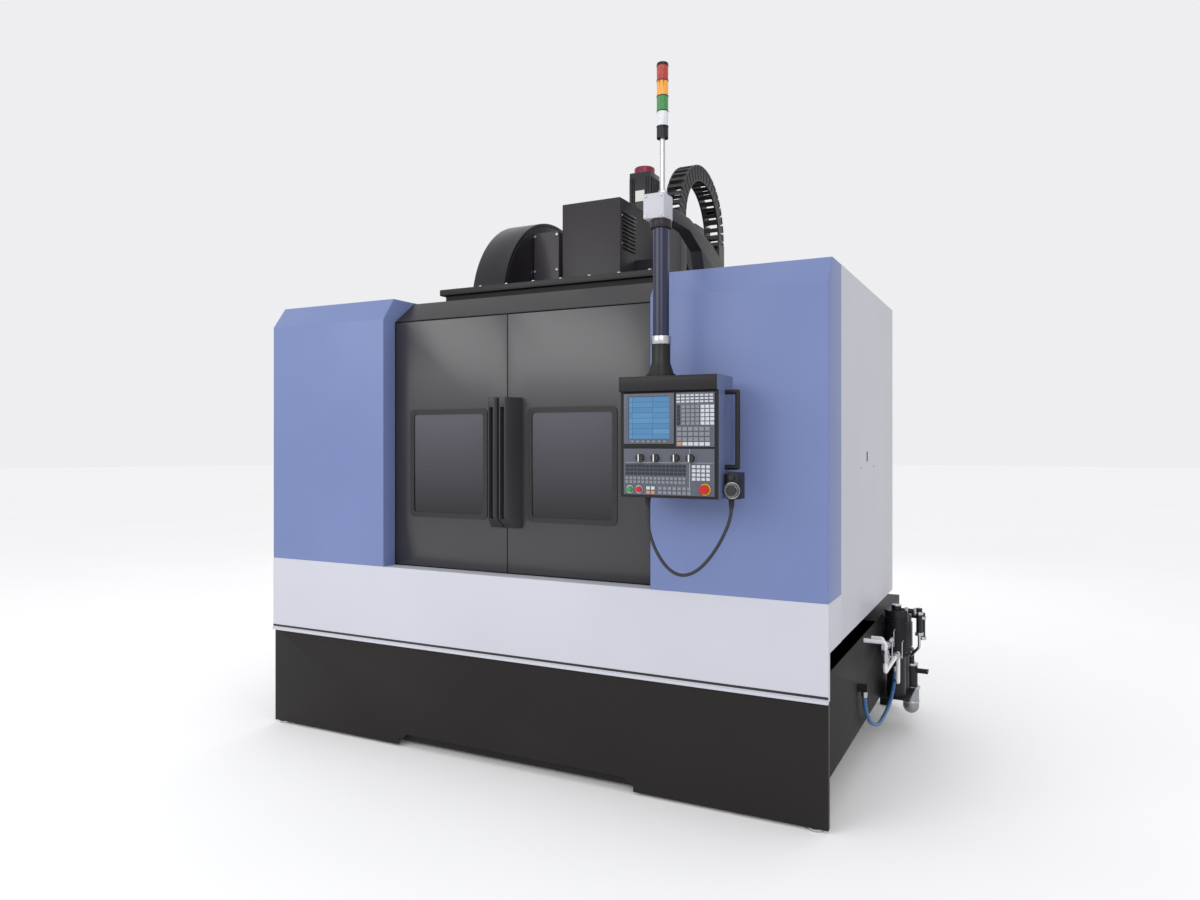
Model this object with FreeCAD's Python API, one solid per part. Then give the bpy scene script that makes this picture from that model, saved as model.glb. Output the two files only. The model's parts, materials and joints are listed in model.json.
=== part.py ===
"""Vertical machining centre with a moving table, a tool changer and a swivelling operator pendant.

Millimetres. +X is the operator's right, +Y runs from the operator to the rear, +Z is up. The model is
drawn about the middle of the enclosure's front edge, and moved at the end so that the origin is the
middle of the whole machine's footprint, on the floor.
"""
import FreeCAD
import Part
import math
import os

V = FreeCAD.Vector
X, Y, Z = V(1, 0, 0), V(0, 1, 0), V(0, 0, 1)

# Clearance between pieces that lie or run beside each other
running = 0.3

# Enclosure
width = 3200.0
half = width / 2
depth = 1761.0
roof_height = 2418.0
sheet = 3.0
apron_bottom, apron_top = 552.0, 959.0
skirt_bottom = 12.0
skirt_setback = 12.0
side_bottom = 751.0
cover_edge_height = 2297.0
cover_chamfer = 87.0
cover_return = 260.0
panel_flange = 40.0
opening_left, opening_right = -775.0, 794.0
roof_opening_left, roof_opening_front = -640.0, 500.0
kick_left, kick_right, kick_height = -680.0, 703.0, 60.0

# Doors
door_setback = 100.0
door_thickness = 38.0
door_gap, door_overlap = 3.0, 20.0
door_bottom, door_track_bottom = 962.0, 941.0
door_top = 2286.0
seam_x = -45.0
window_offset, window_width = 126.0, 495.0
window_bottom, window_top = 1233.0, 1802.0
window_radius = 28.0
gasket, gasket_proud = 22.0, 4.0
handle_width, handle_foot = 56.0, 88.0
handle_bottom, handle_top = 1195.0, 1857.0

# Bed, saddle and table
axis_x, axis_y = 77.0, 950.0
bed_width, bed_front, bed_rear = 1400.0, 128.0, 2250.0
bed_bottom, bed_top = 60.0, 600.0
y_travel, z_travel = 640.0, 670.0
saddle_width, saddle_length = 1560.0, 480.0
y_rail_spread, y_rail_size = 660.0, V(45, saddle_length + y_travel + 520, 50)
z_rail_spread = 440.0
saddle_bottom, saddle_top = 735.0, 840.0
x_rail_spread, x_rail_height = 320.0, 45.0
table_size = V(1400, 650, 110)
slot_width, slot_head, slot_pitch = 18.0, 30.0, 125.0
screw_radius, y_screw_z, x_screw_z = 15.0, 655.0, 815.0
stage_length, stage_count, stage_step = 250.0, 4, 8.0
stage_half_width, stage_height = 385.0, 700.0
stage_end = (bed_front + 1, 2 * axis_y - bed_front - 1)

# Column and spindle head
column_width, column_front, column_rear, column_top = 640.0, 1640.0, 2150.0, 3050.0
column_foot_width, column_foot_top, column_wall = 1120.0, 900.0, 40.0
rail_height, slide_bottom, slide_top = 50.0, 1950.0, 2650.0
z_rail_bottom = slide_bottom - z_travel - 30
nose_height = 1900.0
head_half_width = 170.0
head_front, head_bottom, head_top = 830.0, 2000.0, 2380.0
cartridge_radius = 80.0
cover_left, cover_right, cover_front, cover_rear = -107.0, 268.0, 780.0, 1320.0
cover_bottom, cover_top = 2050.0, 3019.0
z_motor_size, z_motor_top, z_motor_cap = 150.0, 3380.0, 45.0
z_screw_y = 1550.0
carrier_left = axis_x + column_width / 2 + 53
carrier_right = carrier_left + 100
roof_opening_right = carrier_right + 50
carrier_front, carrier_rear, carrier_top, carrier_depth = 985.0, 1753.0, 3312.0, 95.0

# Tool magazine and arm
drum_y, drum_z, drum_radius = 1110.0, 2397.0, 600.0
drum_left, drum_right = -560.0, -345.0
pot_circle, pot_count, pot_radius, pot_length = 400.0, 24, 36.0, 92.0
pot_pivot_x, pot_pivot_out = -440.0, 60.0
arm_x, arm_y, arm_reach = -211.5, 1030.0, 299.4
arm_drop, arm_half_height = 115.0, 14.0
arm_plane = nose_height - 12.5 - arm_drop

# Pendant
pendant_left, pendant_right = 782.0, 1222.0
pendant_front, pendant_rear = -300.0, -105.0
pendant_bottom, pendant_top = 1398.0, 1908.0
pivot_x, pivot_y = 933.0, -200.0
tube_radius, tube_bottom, tube_top = 35.0, 2048.0, 2583.0
panel_face = pendant_front + 14
key_gap = 0.3
wheel_x, wheel_z = 1262.0, 1448.0
# Each control's x, z and shaft radius
controls = {"mode_knob": (879, 1565, 8.0), "feed_knob": (948, 1565, 8.0), "rapid_knob": (1038, 1565, 8.0),
            "spindle_knob": (1104, 1565, 8.0), "emergency_stop": (1166, 1438, 12.0),
            "start_button": (830, 1432, 9.0), "hold_button": (872, 1432, 9.0)}

# Coolant unit and cabinet
tank_left, tank_front, tank_rear = half - 450, 40.0, 2070.0
tank_bottom, tank_top = 225.0, 668.0
cabinet_left, cabinet_right, cabinet_bottom, cabinet_top = -1540.0, -640.0, 250.0, 2250.0
cabinet_front, cabinet_rear = depth + 3, depth + 453
cabinet_split = cabinet_right - 210

# Hoses
hose_radius = 10.0
hose_route = [(half + 22, 700, 420), (half + 22, 700, 366), (half + 28, 732, 298), (half + 37, 786, 246),
              (half + 48, 862, 214), (half + 52, 950, 196), (half + 50, 1044, 188), (half + 54, 1132, 198),
              (half + 60, 1214, 218), (half + 65, 1278, 248), (half + 69, 1328, 296), (half + 71, 1352, 352),
              (half + 71, 1352, 400)]
cord_radius = 7.0
cord_route = [(1244, -190, 1385), (1244, -190, 1330), (1222, -197, 1262), (1186, -202, 1192),
              (1140, -206, 1128), (1088, -208, 1082), (1030, -208, 1064), (974, -206, 1084),
              (926, -202, 1136), (890, -199, 1202), (872, -198, 1268), (872, -200, 1330), (872, -200, 1386)]


parts = {}


def block(x0, x1, y0, y1, z0, z1):
    return Part.makeBox(x1 - x0, y1 - y0, z1 - z0, V(x0, y0, z0))


def rod(start, axis, radius, length):
    return Part.makeCylinder(radius, length, start, axis)


def ring(start, axis, radius, bore, length):
    return rod(start, axis, radius, length).cut(rod(start, axis, bore, length))


def prism(points, push):
    """A flat outline, given as vectors, pushed along a vector."""
    return Part.Face(Part.makePolygon(points + points[:1])).extrude(push)


def side_prism(outline, x0, x1):
    """An outline of (y, z) points, pushed from x0 to x1."""
    return prism([V(x0, y, z) for y, z in outline], V(x1 - x0, 0, 0))


def front_prism(outline, y0, y1):
    """An outline of (x, z) points, pushed from y0 to y1."""
    return prism([V(x, y0, z) for x, z in outline], V(0, y1 - y0, 0))


def plan_prism(outline, z0, z1):
    """An outline of (x, y) points, pushed from z0 to z1."""
    return prism([V(x, y, z0) for x, y in outline], V(0, 0, z1 - z0))


def rounded(x0, x1, y0, y1, z0, z1, radius):
    """A block whose four edges along Y are rounded."""
    solid = block(x0, x1, y0, y1, z0, z1)
    edges = [e for e in solid.Edges if abs(e.tangentAt(e.FirstParameter).y) > 0.99]
    return solid.makeFillet(radius, edges)


def fused(shapes):
    return shapes[0].multiFuse(shapes[1:]).removeSplitter()


def group(shapes):
    return Part.makeCompound(shapes)


def mirrored(shape):
    return shape.mirror(V(0, 0, 0), X)


# ---------------------------------------------------------------- fixed machine body


def base_casting():
    """Ribbed bed casting with lightening pockets in its sides and cored cells that open downwards."""
    left, right = axis_x - bed_width / 2, axis_x + bed_width / 2
    bed = block(left, right, bed_front, bed_rear, bed_bottom, bed_top)
    pocket_depth, pocket_length, rib = 60.0, 360.0, 60.0
    for i in range(5):
        y = bed_front + rib + i * (pocket_length + rib)
        for x0, x1 in ((left, left + pocket_depth), (right - pocket_depth, right)):
            bed = bed.cut(block(x0, x1, y, y + pocket_length, bed_bottom + 120, bed_top - 90))
    cell, cell_rib, cells_across, cells_along = V(340, 360, 440), 50.0, 3, 4
    first_x = axis_x - (cells_across * cell.x + (cells_across - 1) * cell_rib) / 2
    first_y = (bed_front + bed_rear - cells_along * cell.y - (cells_along - 1) * cell_rib) / 2
    for i in range(cells_across):
        for j in range(cells_along):
            x, y = first_x + i * (cell.x + cell_rib), first_y + j * (cell.y + cell_rib)
            bed = bed.cut(block(x, x + cell.x, y, y + cell.y, bed_bottom - 1, bed_bottom + cell.z))
    return bed


def levelling_feet():
    """Screw feet under the bed, and thin pads under the skirt's corners."""
    pad_radius, pad_height, stem_radius = 60.0, 25.0, 16.0
    feet = []
    for x in (axis_x - 600, axis_x, axis_x + 600):
        for y in (bed_front + 110, bed_rear - 110):
            pad = rod(V(x, y, 0), Z, pad_radius, pad_height)
            feet.append(pad.fuse(rod(V(x, y, pad_height), Z, stem_radius, bed_bottom - pad_height)))
    for x in (-half + 60, half - 60):
        feet.append(rod(V(x, skirt_setback + 30, 0), Z, 35, skirt_bottom))
    return group(feet)


def way_rails():
    """Linear guide rails for Y on the bed and for Z on the column."""
    rails = []
    for side in (-1, 1):
        x = axis_x + side * y_rail_spread / 2 - y_rail_size.x / 2
        rails.append(block(x, x + y_rail_size.x, 150, 150 + y_rail_size.y, bed_top, bed_top + y_rail_size.z))
        x = axis_x + side * z_rail_spread / 2 - y_rail_size.x / 2
        front = column_front - rail_height
        rails.append(block(x, x + y_rail_size.x, front, column_front, z_rail_bottom, column_top - 60))
    return group(rails)


def column():
    """Cored box column with a sloping back, two rear windows, an arch over the Y way covers and a bracket
    for the Z motor."""
    left, right = axis_x - column_width / 2, axis_x + column_width / 2
    body = side_prism([(column_front, bed_top), (column_rear, bed_top), (column_rear, 2300),
                       (column_rear - 230, column_top), (column_front, column_top)], left, right)
    foot = column_foot(0)
    arch = stage_half_width + stage_count * stage_step + 10
    arch = block(axis_x - arch, axis_x + arch, column_front - 1, column_rear + 1,
                 bed_top - 1, stage_height + stage_count * stage_step + 10)
    shaft = rod(V(axis_x, z_screw_y, bed_top), Z, screw_radius + 6, column_top)
    upper = block(axis_x - 100, axis_x + 100, z_screw_y - 80, column_front, column_top - 60, column_top)
    lower = block(axis_x - 60, axis_x + 60, z_screw_y - 45, column_front, z_rail_bottom - 50,
                  z_rail_bottom - 5)
    body = fused([body, foot, upper, lower]).cut(shaft).cut(arch)
    wall = column_wall
    core = side_prism([(column_front + wall, column_foot_top + wall),
                       (column_rear - wall, column_foot_top + wall),
                       (column_rear - wall, 2300 - wall), (column_rear - 230 - wall, column_top - wall),
                       (column_front + wall, column_top - wall)], left + wall, right - wall)
    body = body.cut(core)
    for z in (1100, 1700):
        body = body.cut(block(axis_x - 160, axis_x + 160, column_rear - wall - 1, column_rear + 1, z,
                              z + 420))
    return group([body, carrier_trough(carrier_rear - carrier_depth - running, carrier_rear + running,
                                       2150, 2900, 1),
                  block(right, carrier_left - sheet - running, column_front + 30, column_front + 100,
                        2600, 2700)])


def column_foot(margin):
    """The column's wide foot, or the room that it needs in the sheets beside it."""
    return block(axis_x - column_foot_width / 2 - margin, axis_x + column_foot_width / 2 + margin,
                 column_front - margin, column_rear + margin, bed_top, column_foot_top + margin)


def carrier_trough(y0, y1, z0, z1, facing):
    """A sheet channel that guides one leg of the cable carrier. facing 1 has its back at the rear."""
    back = (y1, y1 + sheet) if facing > 0 else (y0 - sheet, y0)
    walls = [block(carrier_left - sheet - running, carrier_right + sheet + running, back[0], back[1], z0, z1)]
    for x in (carrier_left - sheet - running, carrier_right + running):
        walls.append(block(x, x + sheet, y0, y1, z0, z1))
    return fused(walls)


def cable_carrier():
    """The carrier's standing bend and its two legs, which slide in the troughs."""
    outer = (carrier_rear - carrier_front) / 2
    bend_y, bend_z = carrier_front + outer, carrier_top - outer
    width_x = carrier_right - carrier_left
    bend = ring(V(carrier_left, bend_y, bend_z), X, outer, outer - carrier_depth, width_x)
    bend = bend.cut(block(carrier_left - 1, carrier_right + 1, carrier_front - 1, carrier_rear + 1,
                          bend_z - outer - 1, bend_z))
    front_leg = block(carrier_left, carrier_right, carrier_front, carrier_front + carrier_depth, 2330, bend_z)
    rear_leg = block(carrier_left, carrier_right, carrier_rear - carrier_depth, carrier_rear, 2500, bend_z)
    return fused([bend, front_leg, rear_leg])


def servo_motors():
    """Z motor with its round cap on the column, Y motor under the column's arch, magazine motor."""
    side = z_motor_size / 2
    z_motor = block(axis_x - side, axis_x + side, z_screw_y - side, z_screw_y + side, column_top, z_motor_top)
    cap = rod(V(axis_x, z_screw_y, z_motor_top), Z, side - 8, z_motor_cap)
    cap = cap.makeFillet(12, [cap.Edges[0]])
    y_side = 50.0
    y_motor = block(axis_x - y_side, axis_x + y_side, stage_end[1] + 20, stage_end[1] + 230,
                    bed_top, y_screw_z + y_side)
    magazine = rod(V(drum_right, 1450, 2650), X, 50, 150)
    return group([z_motor, cap, y_motor, magazine])


def stage_sides(k):
    return axis_x - (stage_half_width + k * stage_step), axis_x + (stage_half_width + k * stage_step)


def way_cover(k, y0):
    """One telescopic stage: an inverted sheet channel that rides on the bed. k counts outwards."""
    left, right = stage_sides(k)
    top = stage_height + k * stage_step
    outer = block(left, right, y0, y0 + stage_length, bed_top + running, top)
    return outer.cut(block(left + sheet, right - sheet, y0 - 1, y0 + stage_length + 1, bed_top, top - sheet))


def stage_pair(k):
    """The front and rear stage k: 0 is fixed to the bed and the last one to the saddle."""
    first = stage_end[0]
    last = axis_y - saddle_length / 2 - stage_length - 10
    y0 = first + (last - first) * k / (stage_count - 1)
    return [way_cover(k, y0), way_cover(k, 2 * axis_y - y0 - stage_length)]


def inner_guards():
    """Stainless sheet lining of the work area: sloping trays, side, front and rear walls, and the
    first stage of each Y way cover."""
    wall, thick = half - 60, 4.0
    bed_left, bed_right = axis_x - bed_width / 2, axis_x + bed_width / 2
    tray_rear = depth - 26
    guards = []
    for edge, side in ((bed_left, -1), (bed_right, 1)):
        outer = side * wall
        lip = edge - side * 23
        tray = front_prism([(outer, 760), (edge, bed_top), (lip, bed_top), (lip, bed_top + thick),
                            (edge, bed_top + thick), (outer, 760 + thick)], bed_front, tray_rear)
        guards.append(tray)
        guards.append(block(min(outer, outer + side * sheet), max(outer, outer + side * sheet),
                            bed_front, tray_rear, 760, roof_height - 6))
    guards.append(block(-wall, opening_left, 168, 168 + sheet, 768, door_top + 2))
    guards.append(block(opening_right, wall, 168, 168 + sheet, 768, door_top + 2))
    left, right = axis_x - column_width / 2, axis_x + column_width / 2
    for x0, x1 in ((-wall, left - 20), (right + 210, wall)):
        guards.append(block(x0, x1, tray_rear, tray_rear + sheet, 764, roof_height - 6).cut(column_foot(2)))
    sill = block(-wall, wall, bed_front - 5, bed_front, bed_top, door_track_bottom)
    guards.append(sill.cut(block(tank_left - 10, half, 0, depth, 0, tank_top + 10)))
    return group(guards + stage_pair(0))


# ---------------------------------------------------------------- enclosure


def front_apron():
    """White folded band across the front, with a ledge under the doors, cheeks and a drip lip."""
    front = block(-half, half, 0, sheet, apron_bottom, apron_top)
    ledge = block(-half, half, 0, door_setback - 5, apron_top - sheet, apron_top)
    lip = side_prism([(sheet, apron_bottom), (sheet, apron_bottom + 8), (-6, apron_bottom + 2),
                      (-6, apron_bottom - 4)], -half, half)
    cheeks = []
    for x in (-half, half - sheet):
        cheeks.append(block(x, x + sheet, 0, 28, apron_bottom, apron_top))
        cheeks.append(block(x, x + sheet, 0, cover_return, side_bottom, apron_top))
    return fused([front, ledge, lip] + cheeks)


def front_skirt():
    """Black lower front sheet with a toe recess that has stepped ends."""
    y0, y1 = skirt_setback, skirt_setback + 6
    front = block(-half + 3, half - 3, y0, y1, skirt_bottom, apron_bottom)
    step = 26.0
    recess = front_prism([(kick_left, 0), (kick_left, skirt_bottom + kick_height - step),
                          (kick_left + step, skirt_bottom + kick_height - step),
                          (kick_left + 2 * step, skirt_bottom + kick_height),
                          (kick_right - 2 * step, skirt_bottom + kick_height),
                          (kick_right - step, skirt_bottom + kick_height - step),
                          (kick_right, skirt_bottom + kick_height - step), (kick_right, 0)], y0 - 1, y1 + 1)
    front = front.cut(recess)
    top_flange = block(-half + 12, half - 3, sheet, y1 + 20, apron_bottom - 3, apron_bottom)
    right_return = block(half - 9, half - 3, y1, tank_front, skirt_bottom, apron_bottom)
    kick_plate = block(kick_left, kick_right, y1 + 40, y1 + 43, skirt_bottom + 10,
                       skirt_bottom + kick_height + 20)
    kick_shelf = block(kick_left, kick_right, y1, y1 + 43, skirt_bottom + kick_height + 20,
                       skirt_bottom + kick_height + 23)
    return fused([front, top_flange, right_return, kick_plate, kick_shelf])


def left_skirt():
    """Black sheet under the left side panel, with two capped drain fittings near the front."""
    skirt = block(-half + 3, -half + 9, skirt_setback + 6, depth - 6, skirt_bottom + 40, side_bottom)
    fittings = [skirt]
    for z in (190, 300):
        fittings.append(rod(V(-half + 3, 70, z), V(-1, 0, 0), 16, 22))
        fittings.append(rod(V(-half - 19, 70, z), V(-1, 0, 0), 11, 12))
    return fused(fittings)


def front_cover(x0, x1, outer_side):
    """Blue folded front cover: flat face, chamfered top, a deep outer return and a shallow inner one."""
    outline = [(0, apron_top), (0, cover_edge_height), (cover_chamfer, roof_height),
               (cover_return, roof_height), (cover_return, apron_top)]
    slope = sheet * 0.62
    inside = [(sheet, apron_top - 1), (sheet, cover_edge_height - slope),
              (cover_chamfer + slope, roof_height - sheet),
              (cover_return + 1, roof_height - sheet), (cover_return + 1, apron_top - 1)]
    shell = side_prism(outline, x0, x1).cut(side_prism(inside, x0 + sheet, x1 - sheet))
    inner = x1 - sheet if outer_side < 0 else x0
    slot = block(inner - 1, inner + sheet + 1, door_setback - 5, cover_return + 1, apron_top - 1,
                 door_top + 4)
    return shell.cut(slot)


def side_panel():
    """Right white side panel, a shallow folded tray with a small slot and two screw holes."""
    y0, y1 = cover_return, depth
    tray = block(half - panel_flange, half, y0, y1, side_bottom, roof_height)
    tray = tray.cut(block(half - panel_flange - 1, half - sheet, y0 + sheet, y1 - sheet,
                          side_bottom + sheet, roof_height - sheet))
    lock = block(half - sheet - 1, half + 1, 890, 912, 1533, 1583)
    tray = tray.cut(lock)
    for y in (740, 1095):
        tray = tray.cut(rod(V(half - sheet - 1, y, 1503), X, 7, sheet + 2))
    plug = block(half - sheet, half + 2, 890 + running, 912 - running, 1533 + running, 1583 - running)
    return tray, plug


def side_and_rear_panels():
    """Both side panels with their lock plugs, and the two rear sheets beside the column."""
    tray, plug = side_panel()
    left, right = axis_x - column_width / 2, axis_x + column_width / 2
    rear_left = block(-half + panel_flange, left - 20, depth - sheet, depth, side_bottom, roof_height - 6)
    rear_right = block(right + 220, half - panel_flange, depth - sheet, depth, side_bottom, roof_height - 6)
    rear_left, rear_right = rear_left.cut(column_foot(2)), rear_right.cut(column_foot(2))
    return group([tray, plug, mirrored(tray), mirrored(plug), rear_left, rear_right])


def header():
    """Dark sloping header over the doors, with the upper door rail and the lower door track."""
    outline = [(door_setback, door_top + 4), (150, door_top + 4), (150, door_top + 7), (104, door_top + 7),
               (262, roof_height - 9), (300, roof_height - 9), (300, roof_height - 6), (258, roof_height - 6),
               (door_setback, door_top + 8)]
    slope = side_prism(outline, opening_left, opening_right)
    rail = block(-half + 60, half - 60, 150, 168, door_top - 46, door_top - 6)
    rail_tie = [block(x, x + 60, 150, 168, door_top - 6, door_top + 7)
                for x in (opening_left, -30, opening_right - 60)]
    track = block(-half + 60, half - 60, 112, bed_front - 1, door_track_bottom, door_bottom - running)
    return group([slope, fused([rail] + rail_tie), track])


def roof():
    """Dark roof sheet around the head and magazine, with a raised coaming along the opening."""
    x0, x1, y0 = roof_opening_left, roof_opening_right, roof_opening_front
    plate = block(-half + panel_flange, half - panel_flange, 300, depth - sheet, roof_height - 6, roof_height)
    strips = [block(-half + panel_flange, opening_left, cover_return, 300, roof_height - 6, roof_height),
              block(opening_right, half - panel_flange, cover_return, 300, roof_height - 6, roof_height)]
    plate = fused([plate] + strips).cut(block(x0, x1, y0, depth + 1, roof_height - 10, roof_height + 5))
    slab_top, slab_low = 2513.0, 2478.0
    coaming_rear = depth - 61
    coaming = block(x0 - 55, x1 + 55, y0 - 55, coaming_rear, roof_height, slab_low)
    slab = block(x0 - 80, x1 + 80, y0 - 80, coaming_rear, slab_low, slab_top)
    coaming = fused([coaming, slab]).cut(block(x0, x1, y0, coaming_rear + 1, roof_height - 1, slab_top + 1))
    return group([plate, coaming])


# ---------------------------------------------------------------- doors


def door(x0, x1, window_left):
    """Folded door tray with a window hole and two hangers that run on the upper rail."""
    y0, y1 = door_setback, door_setback + door_thickness
    tray = block(x0, x1, y0, y1, door_bottom, door_top)
    tray = tray.cut(block(x0 + sheet, x1 - sheet, y0 + sheet, y1 + 1, door_bottom + sheet, door_top - sheet))
    hole = rounded(window_left, window_left + window_width, y0 - 1, y0 + sheet + 1,
                   window_bottom, window_top, window_radius)
    hangers = [block(x, x + 70, y1 - 6, 150 - running, door_top - 40, door_top) for x in (x0 + 60, x1 - 130)]
    return fused([tray] + hangers).cut(hole)


def window(window_left):
    """A laminated pane in a black rubber gasket that clips round the edge of the hole."""
    y0 = door_setback
    x1 = window_left + window_width
    lip = rounded(window_left - 4, x1 + 4, y0 - gasket_proud, y0, window_bottom - 4, window_top + 4,
                  window_radius)
    core = rounded(window_left, x1, y0, y0 + 12, window_bottom, window_top, window_radius)
    inner = rounded(window_left + gasket, x1 - gasket, y0 - 7, y0 + 13,
                    window_bottom + gasket, window_top - gasket, window_radius - 10)
    groove = rounded(window_left + gasket - 8, x1 - gasket + 8, y0 + 2, y0 + 8,
                     window_bottom + gasket - 8, window_top - gasket + 8, window_radius - 10)
    frame = lip.fuse(core).removeSplitter().cut(inner).cut(groove)
    return group([frame, groove])


def handle(x_seam, side):
    """Tall moulded door pull: a rounded rib at the seam with a finger groove, and a sloping flank."""
    near, far = x_seam + side * 4, x_seam + side * (4 + handle_width)
    outline = [(near, door_setback), (near, 14), (near + side * 12, 0), (far - side * 12, 0),
               (far, 14), (far + side * handle_foot * 0.35, door_setback)]
    rib = plan_prism(outline, handle_bottom, handle_top)
    groove_left = min(near + side * 18, near + side * 40)
    groove = block(groove_left, groove_left + 22, -1, 46, handle_bottom + 50, handle_top - 50)
    toe = prism([V(near - side, -1, handle_bottom - 1), V(near - side, door_setback - 20, handle_bottom - 1),
                 V(near - side, -1, handle_bottom + 60)], V(side * 200, 0, 0))
    return rib.cut(groove).cut(toe)


# ---------------------------------------------------------------- axes


def saddle():
    """Saddle casting on four carriages, with a trough for the X screw and the Y nut bracket below."""
    x0, x1 = axis_x - saddle_width / 2, axis_x + saddle_width / 2
    y0, y1 = axis_y - saddle_length / 2, axis_y + saddle_length / 2
    body = block(x0, x1, y0, y1, saddle_bottom, saddle_top)
    body = body.cut(block(x0 - 1, x1 + 1, axis_y - 50, axis_y + 50, saddle_bottom + 40, saddle_top + 1))
    pieces = [body]
    rail_top = bed_top + y_rail_size.z
    for side in (-1, 1):
        for y in (y0 + 20, y1 - 140):
            x = axis_x + side * y_rail_spread / 2
            pieces.append(block(x - 45, x + 45, y, y + 120, rail_top + running, saddle_bottom))
    for y in (y0 - 10, y1):
        pieces.append(block(axis_x - stage_half_width, axis_x + stage_half_width, y, y + 10,
                            stage_height - 20, saddle_bottom + 20))
    nut = block(axis_x - 45, axis_x + 45, axis_y - 50, axis_y + 50, bed_top + 10, saddle_bottom)
    bore = rod(V(axis_x, 0, y_screw_z), Y, screw_radius + running, 2 * axis_y)
    return fused(pieces + [nut]).cut(bore)


def saddle_fittings():
    """X rails, X servo motor and the last stage of each Y way cover, all fixed to the saddle."""
    x0, x1 = axis_x - saddle_width / 2, axis_x + saddle_width / 2
    pieces = []
    for side in (-1, 1):
        y = axis_y + side * x_rail_spread / 2
        pieces.append(block(x0, x1, y - 20, y + 20, saddle_top, saddle_top + x_rail_height))
    pieces.append(block(x1, x1 + 200, axis_y - 50, axis_y + 50, x_screw_z - 50, x_screw_z + 50))
    return group(pieces + stage_pair(stage_count - 1))


def table():
    """T-slotted table on four carriages, with the X nut bracket below."""
    x0, y0 = axis_x - table_size.x / 2, axis_y - table_size.y / 2
    top = saddle_top + x_rail_height + 5 + table_size.z
    body = block(x0, x0 + table_size.x, y0, y0 + table_size.y, top - table_size.z, top)
    for i in range(-2, 3):
        y = axis_y + i * slot_pitch
        body = body.cut(block(x0 - 1, x0 + table_size.x + 1, y - slot_width / 2, y + slot_width / 2,
                              top - 26, top + 1))
        body = body.cut(block(x0 - 1, x0 + table_size.x + 1, y - slot_head / 2, y + slot_head / 2, top - 42,
                              top - 26))
    pieces = [body]
    for side in (-1, 1):
        for x in (axis_x - 140, axis_x + 60):
            y = axis_y + side * x_rail_spread / 2
            pieces.append(block(x, x + 80, y - 35, y + 35, saddle_top + x_rail_height + running,
                                top - table_size.z))
    nut = block(axis_x - 50, axis_x + 50, axis_y - 40, axis_y + 40, x_screw_z - 30, top - table_size.z)
    bore = rod(V(-half, axis_y, x_screw_z), X, screw_radius + running, width)
    return fused(pieces + [nut]).cut(bore)


def ball_screw(start, axis, length):
    return rod(start, axis, screw_radius, length)


# ---------------------------------------------------------------- spindle head


def head_casting():
    """Head casting: slide plate on the column rails, body round the Z screw, and the spindle nose."""
    rail_face = column_front - rail_height - running
    slide = block(axis_x - 260, axis_x + 260, rail_face - 90, rail_face,
                  slide_bottom, slide_top)
    body = block(axis_x - head_half_width, axis_x + head_half_width, head_front, rail_face - 90,
                 head_bottom, head_top)
    riser = block(axis_x - head_half_width, axis_x + head_half_width, 1200, rail_face - 90, head_top, 2600)
    casting = fused([slide, body, riser])
    casting = casting.cut(rod(V(axis_x, axis_y, 0), Z, cartridge_radius, column_top))
    return casting.cut(rod(V(axis_x, z_screw_y, 0), Z, screw_radius + running, column_top))


def spindle_drive():
    """Spindle cartridge with its bore, and the spindle motor that stands on the casting above it."""
    bore = 52.0
    cartridge = ring(V(axis_x, axis_y, nose_height), Z, cartridge_radius, bore, head_top - nose_height)
    taper = Part.makeCone(62, cartridge_radius, 30, V(axis_x, axis_y, nose_height), Z)
    sleeve = rod(V(axis_x, axis_y, nose_height), Z, cartridge_radius + 5, 30).cut(taper)
    cartridge = cartridge.cut(sleeve)
    motor = block(axis_x - 120, axis_x + 120, axis_y - 115, axis_y + 125, head_top, 2920)
    return group([cartridge, motor])


def spindle():
    """Spindle shaft with its driving nose, and the tool holder and end mill that it carries."""
    shaft = rod(V(axis_x, axis_y, nose_height - 2), Z, 51.9, head_top - nose_height - 8)
    flange = rod(V(axis_x, axis_y, nose_height - 24), Z, 31.5, 22)
    groove = ring(V(axis_x, axis_y, nose_height - 16), Z, 32.5, 27, 7)
    collet = Part.makeCone(18, 24, 30, V(axis_x, axis_y, nose_height - 54), Z)
    cutter = rod(V(axis_x, axis_y, nose_height - 82), Z, 8, 28)
    return group([shaft, fused([flange.cut(groove), collet, cutter])])


def head_cover():
    """Tall dark sheet cover over the head and its motor, open below and behind, with the trough that
    carries the front leg of the cable carrier."""
    shell = block(cover_left, cover_right, cover_front, cover_rear, cover_bottom, cover_top)
    shell = shell.cut(block(cover_left + sheet, cover_right - sheet, cover_front + sheet, cover_rear + 1,
                            cover_bottom - 1, cover_top - sheet))
    trough = carrier_trough(carrier_front - running, carrier_front + carrier_depth + running, 2300, 2880, -1)
    arm = block(cover_right, carrier_left - sheet - running, carrier_front + 10, carrier_front + 70,
                2500, 2700)
    return group([shell, fused([trough, arm])])


# ---------------------------------------------------------------- tool changer


def magazine_frame():
    """Back plate of the magazine with the axle of the tool disc, bolted to the column's left side."""
    plate = rod(V(drum_right - 20, drum_y, drum_z), X, drum_radius - 20 - running, 20)
    plate = plate.cut(block(drum_right - 21, drum_right + 1, 0, depth, drum_z - drum_radius, drum_z - 437))
    tail = block(drum_right - 20, drum_right, drum_y, 1730, drum_z - 150, drum_z + 150)
    spacer = block(drum_right, axis_x - column_width / 2, column_front + 5, 1730, drum_z - 150, drum_z + 150)
    axle = rod(V(drum_left + 60, drum_y, drum_z), X, 40, drum_right - drum_left - 80)
    return fused([plate, tail, spacer, axle])


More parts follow.
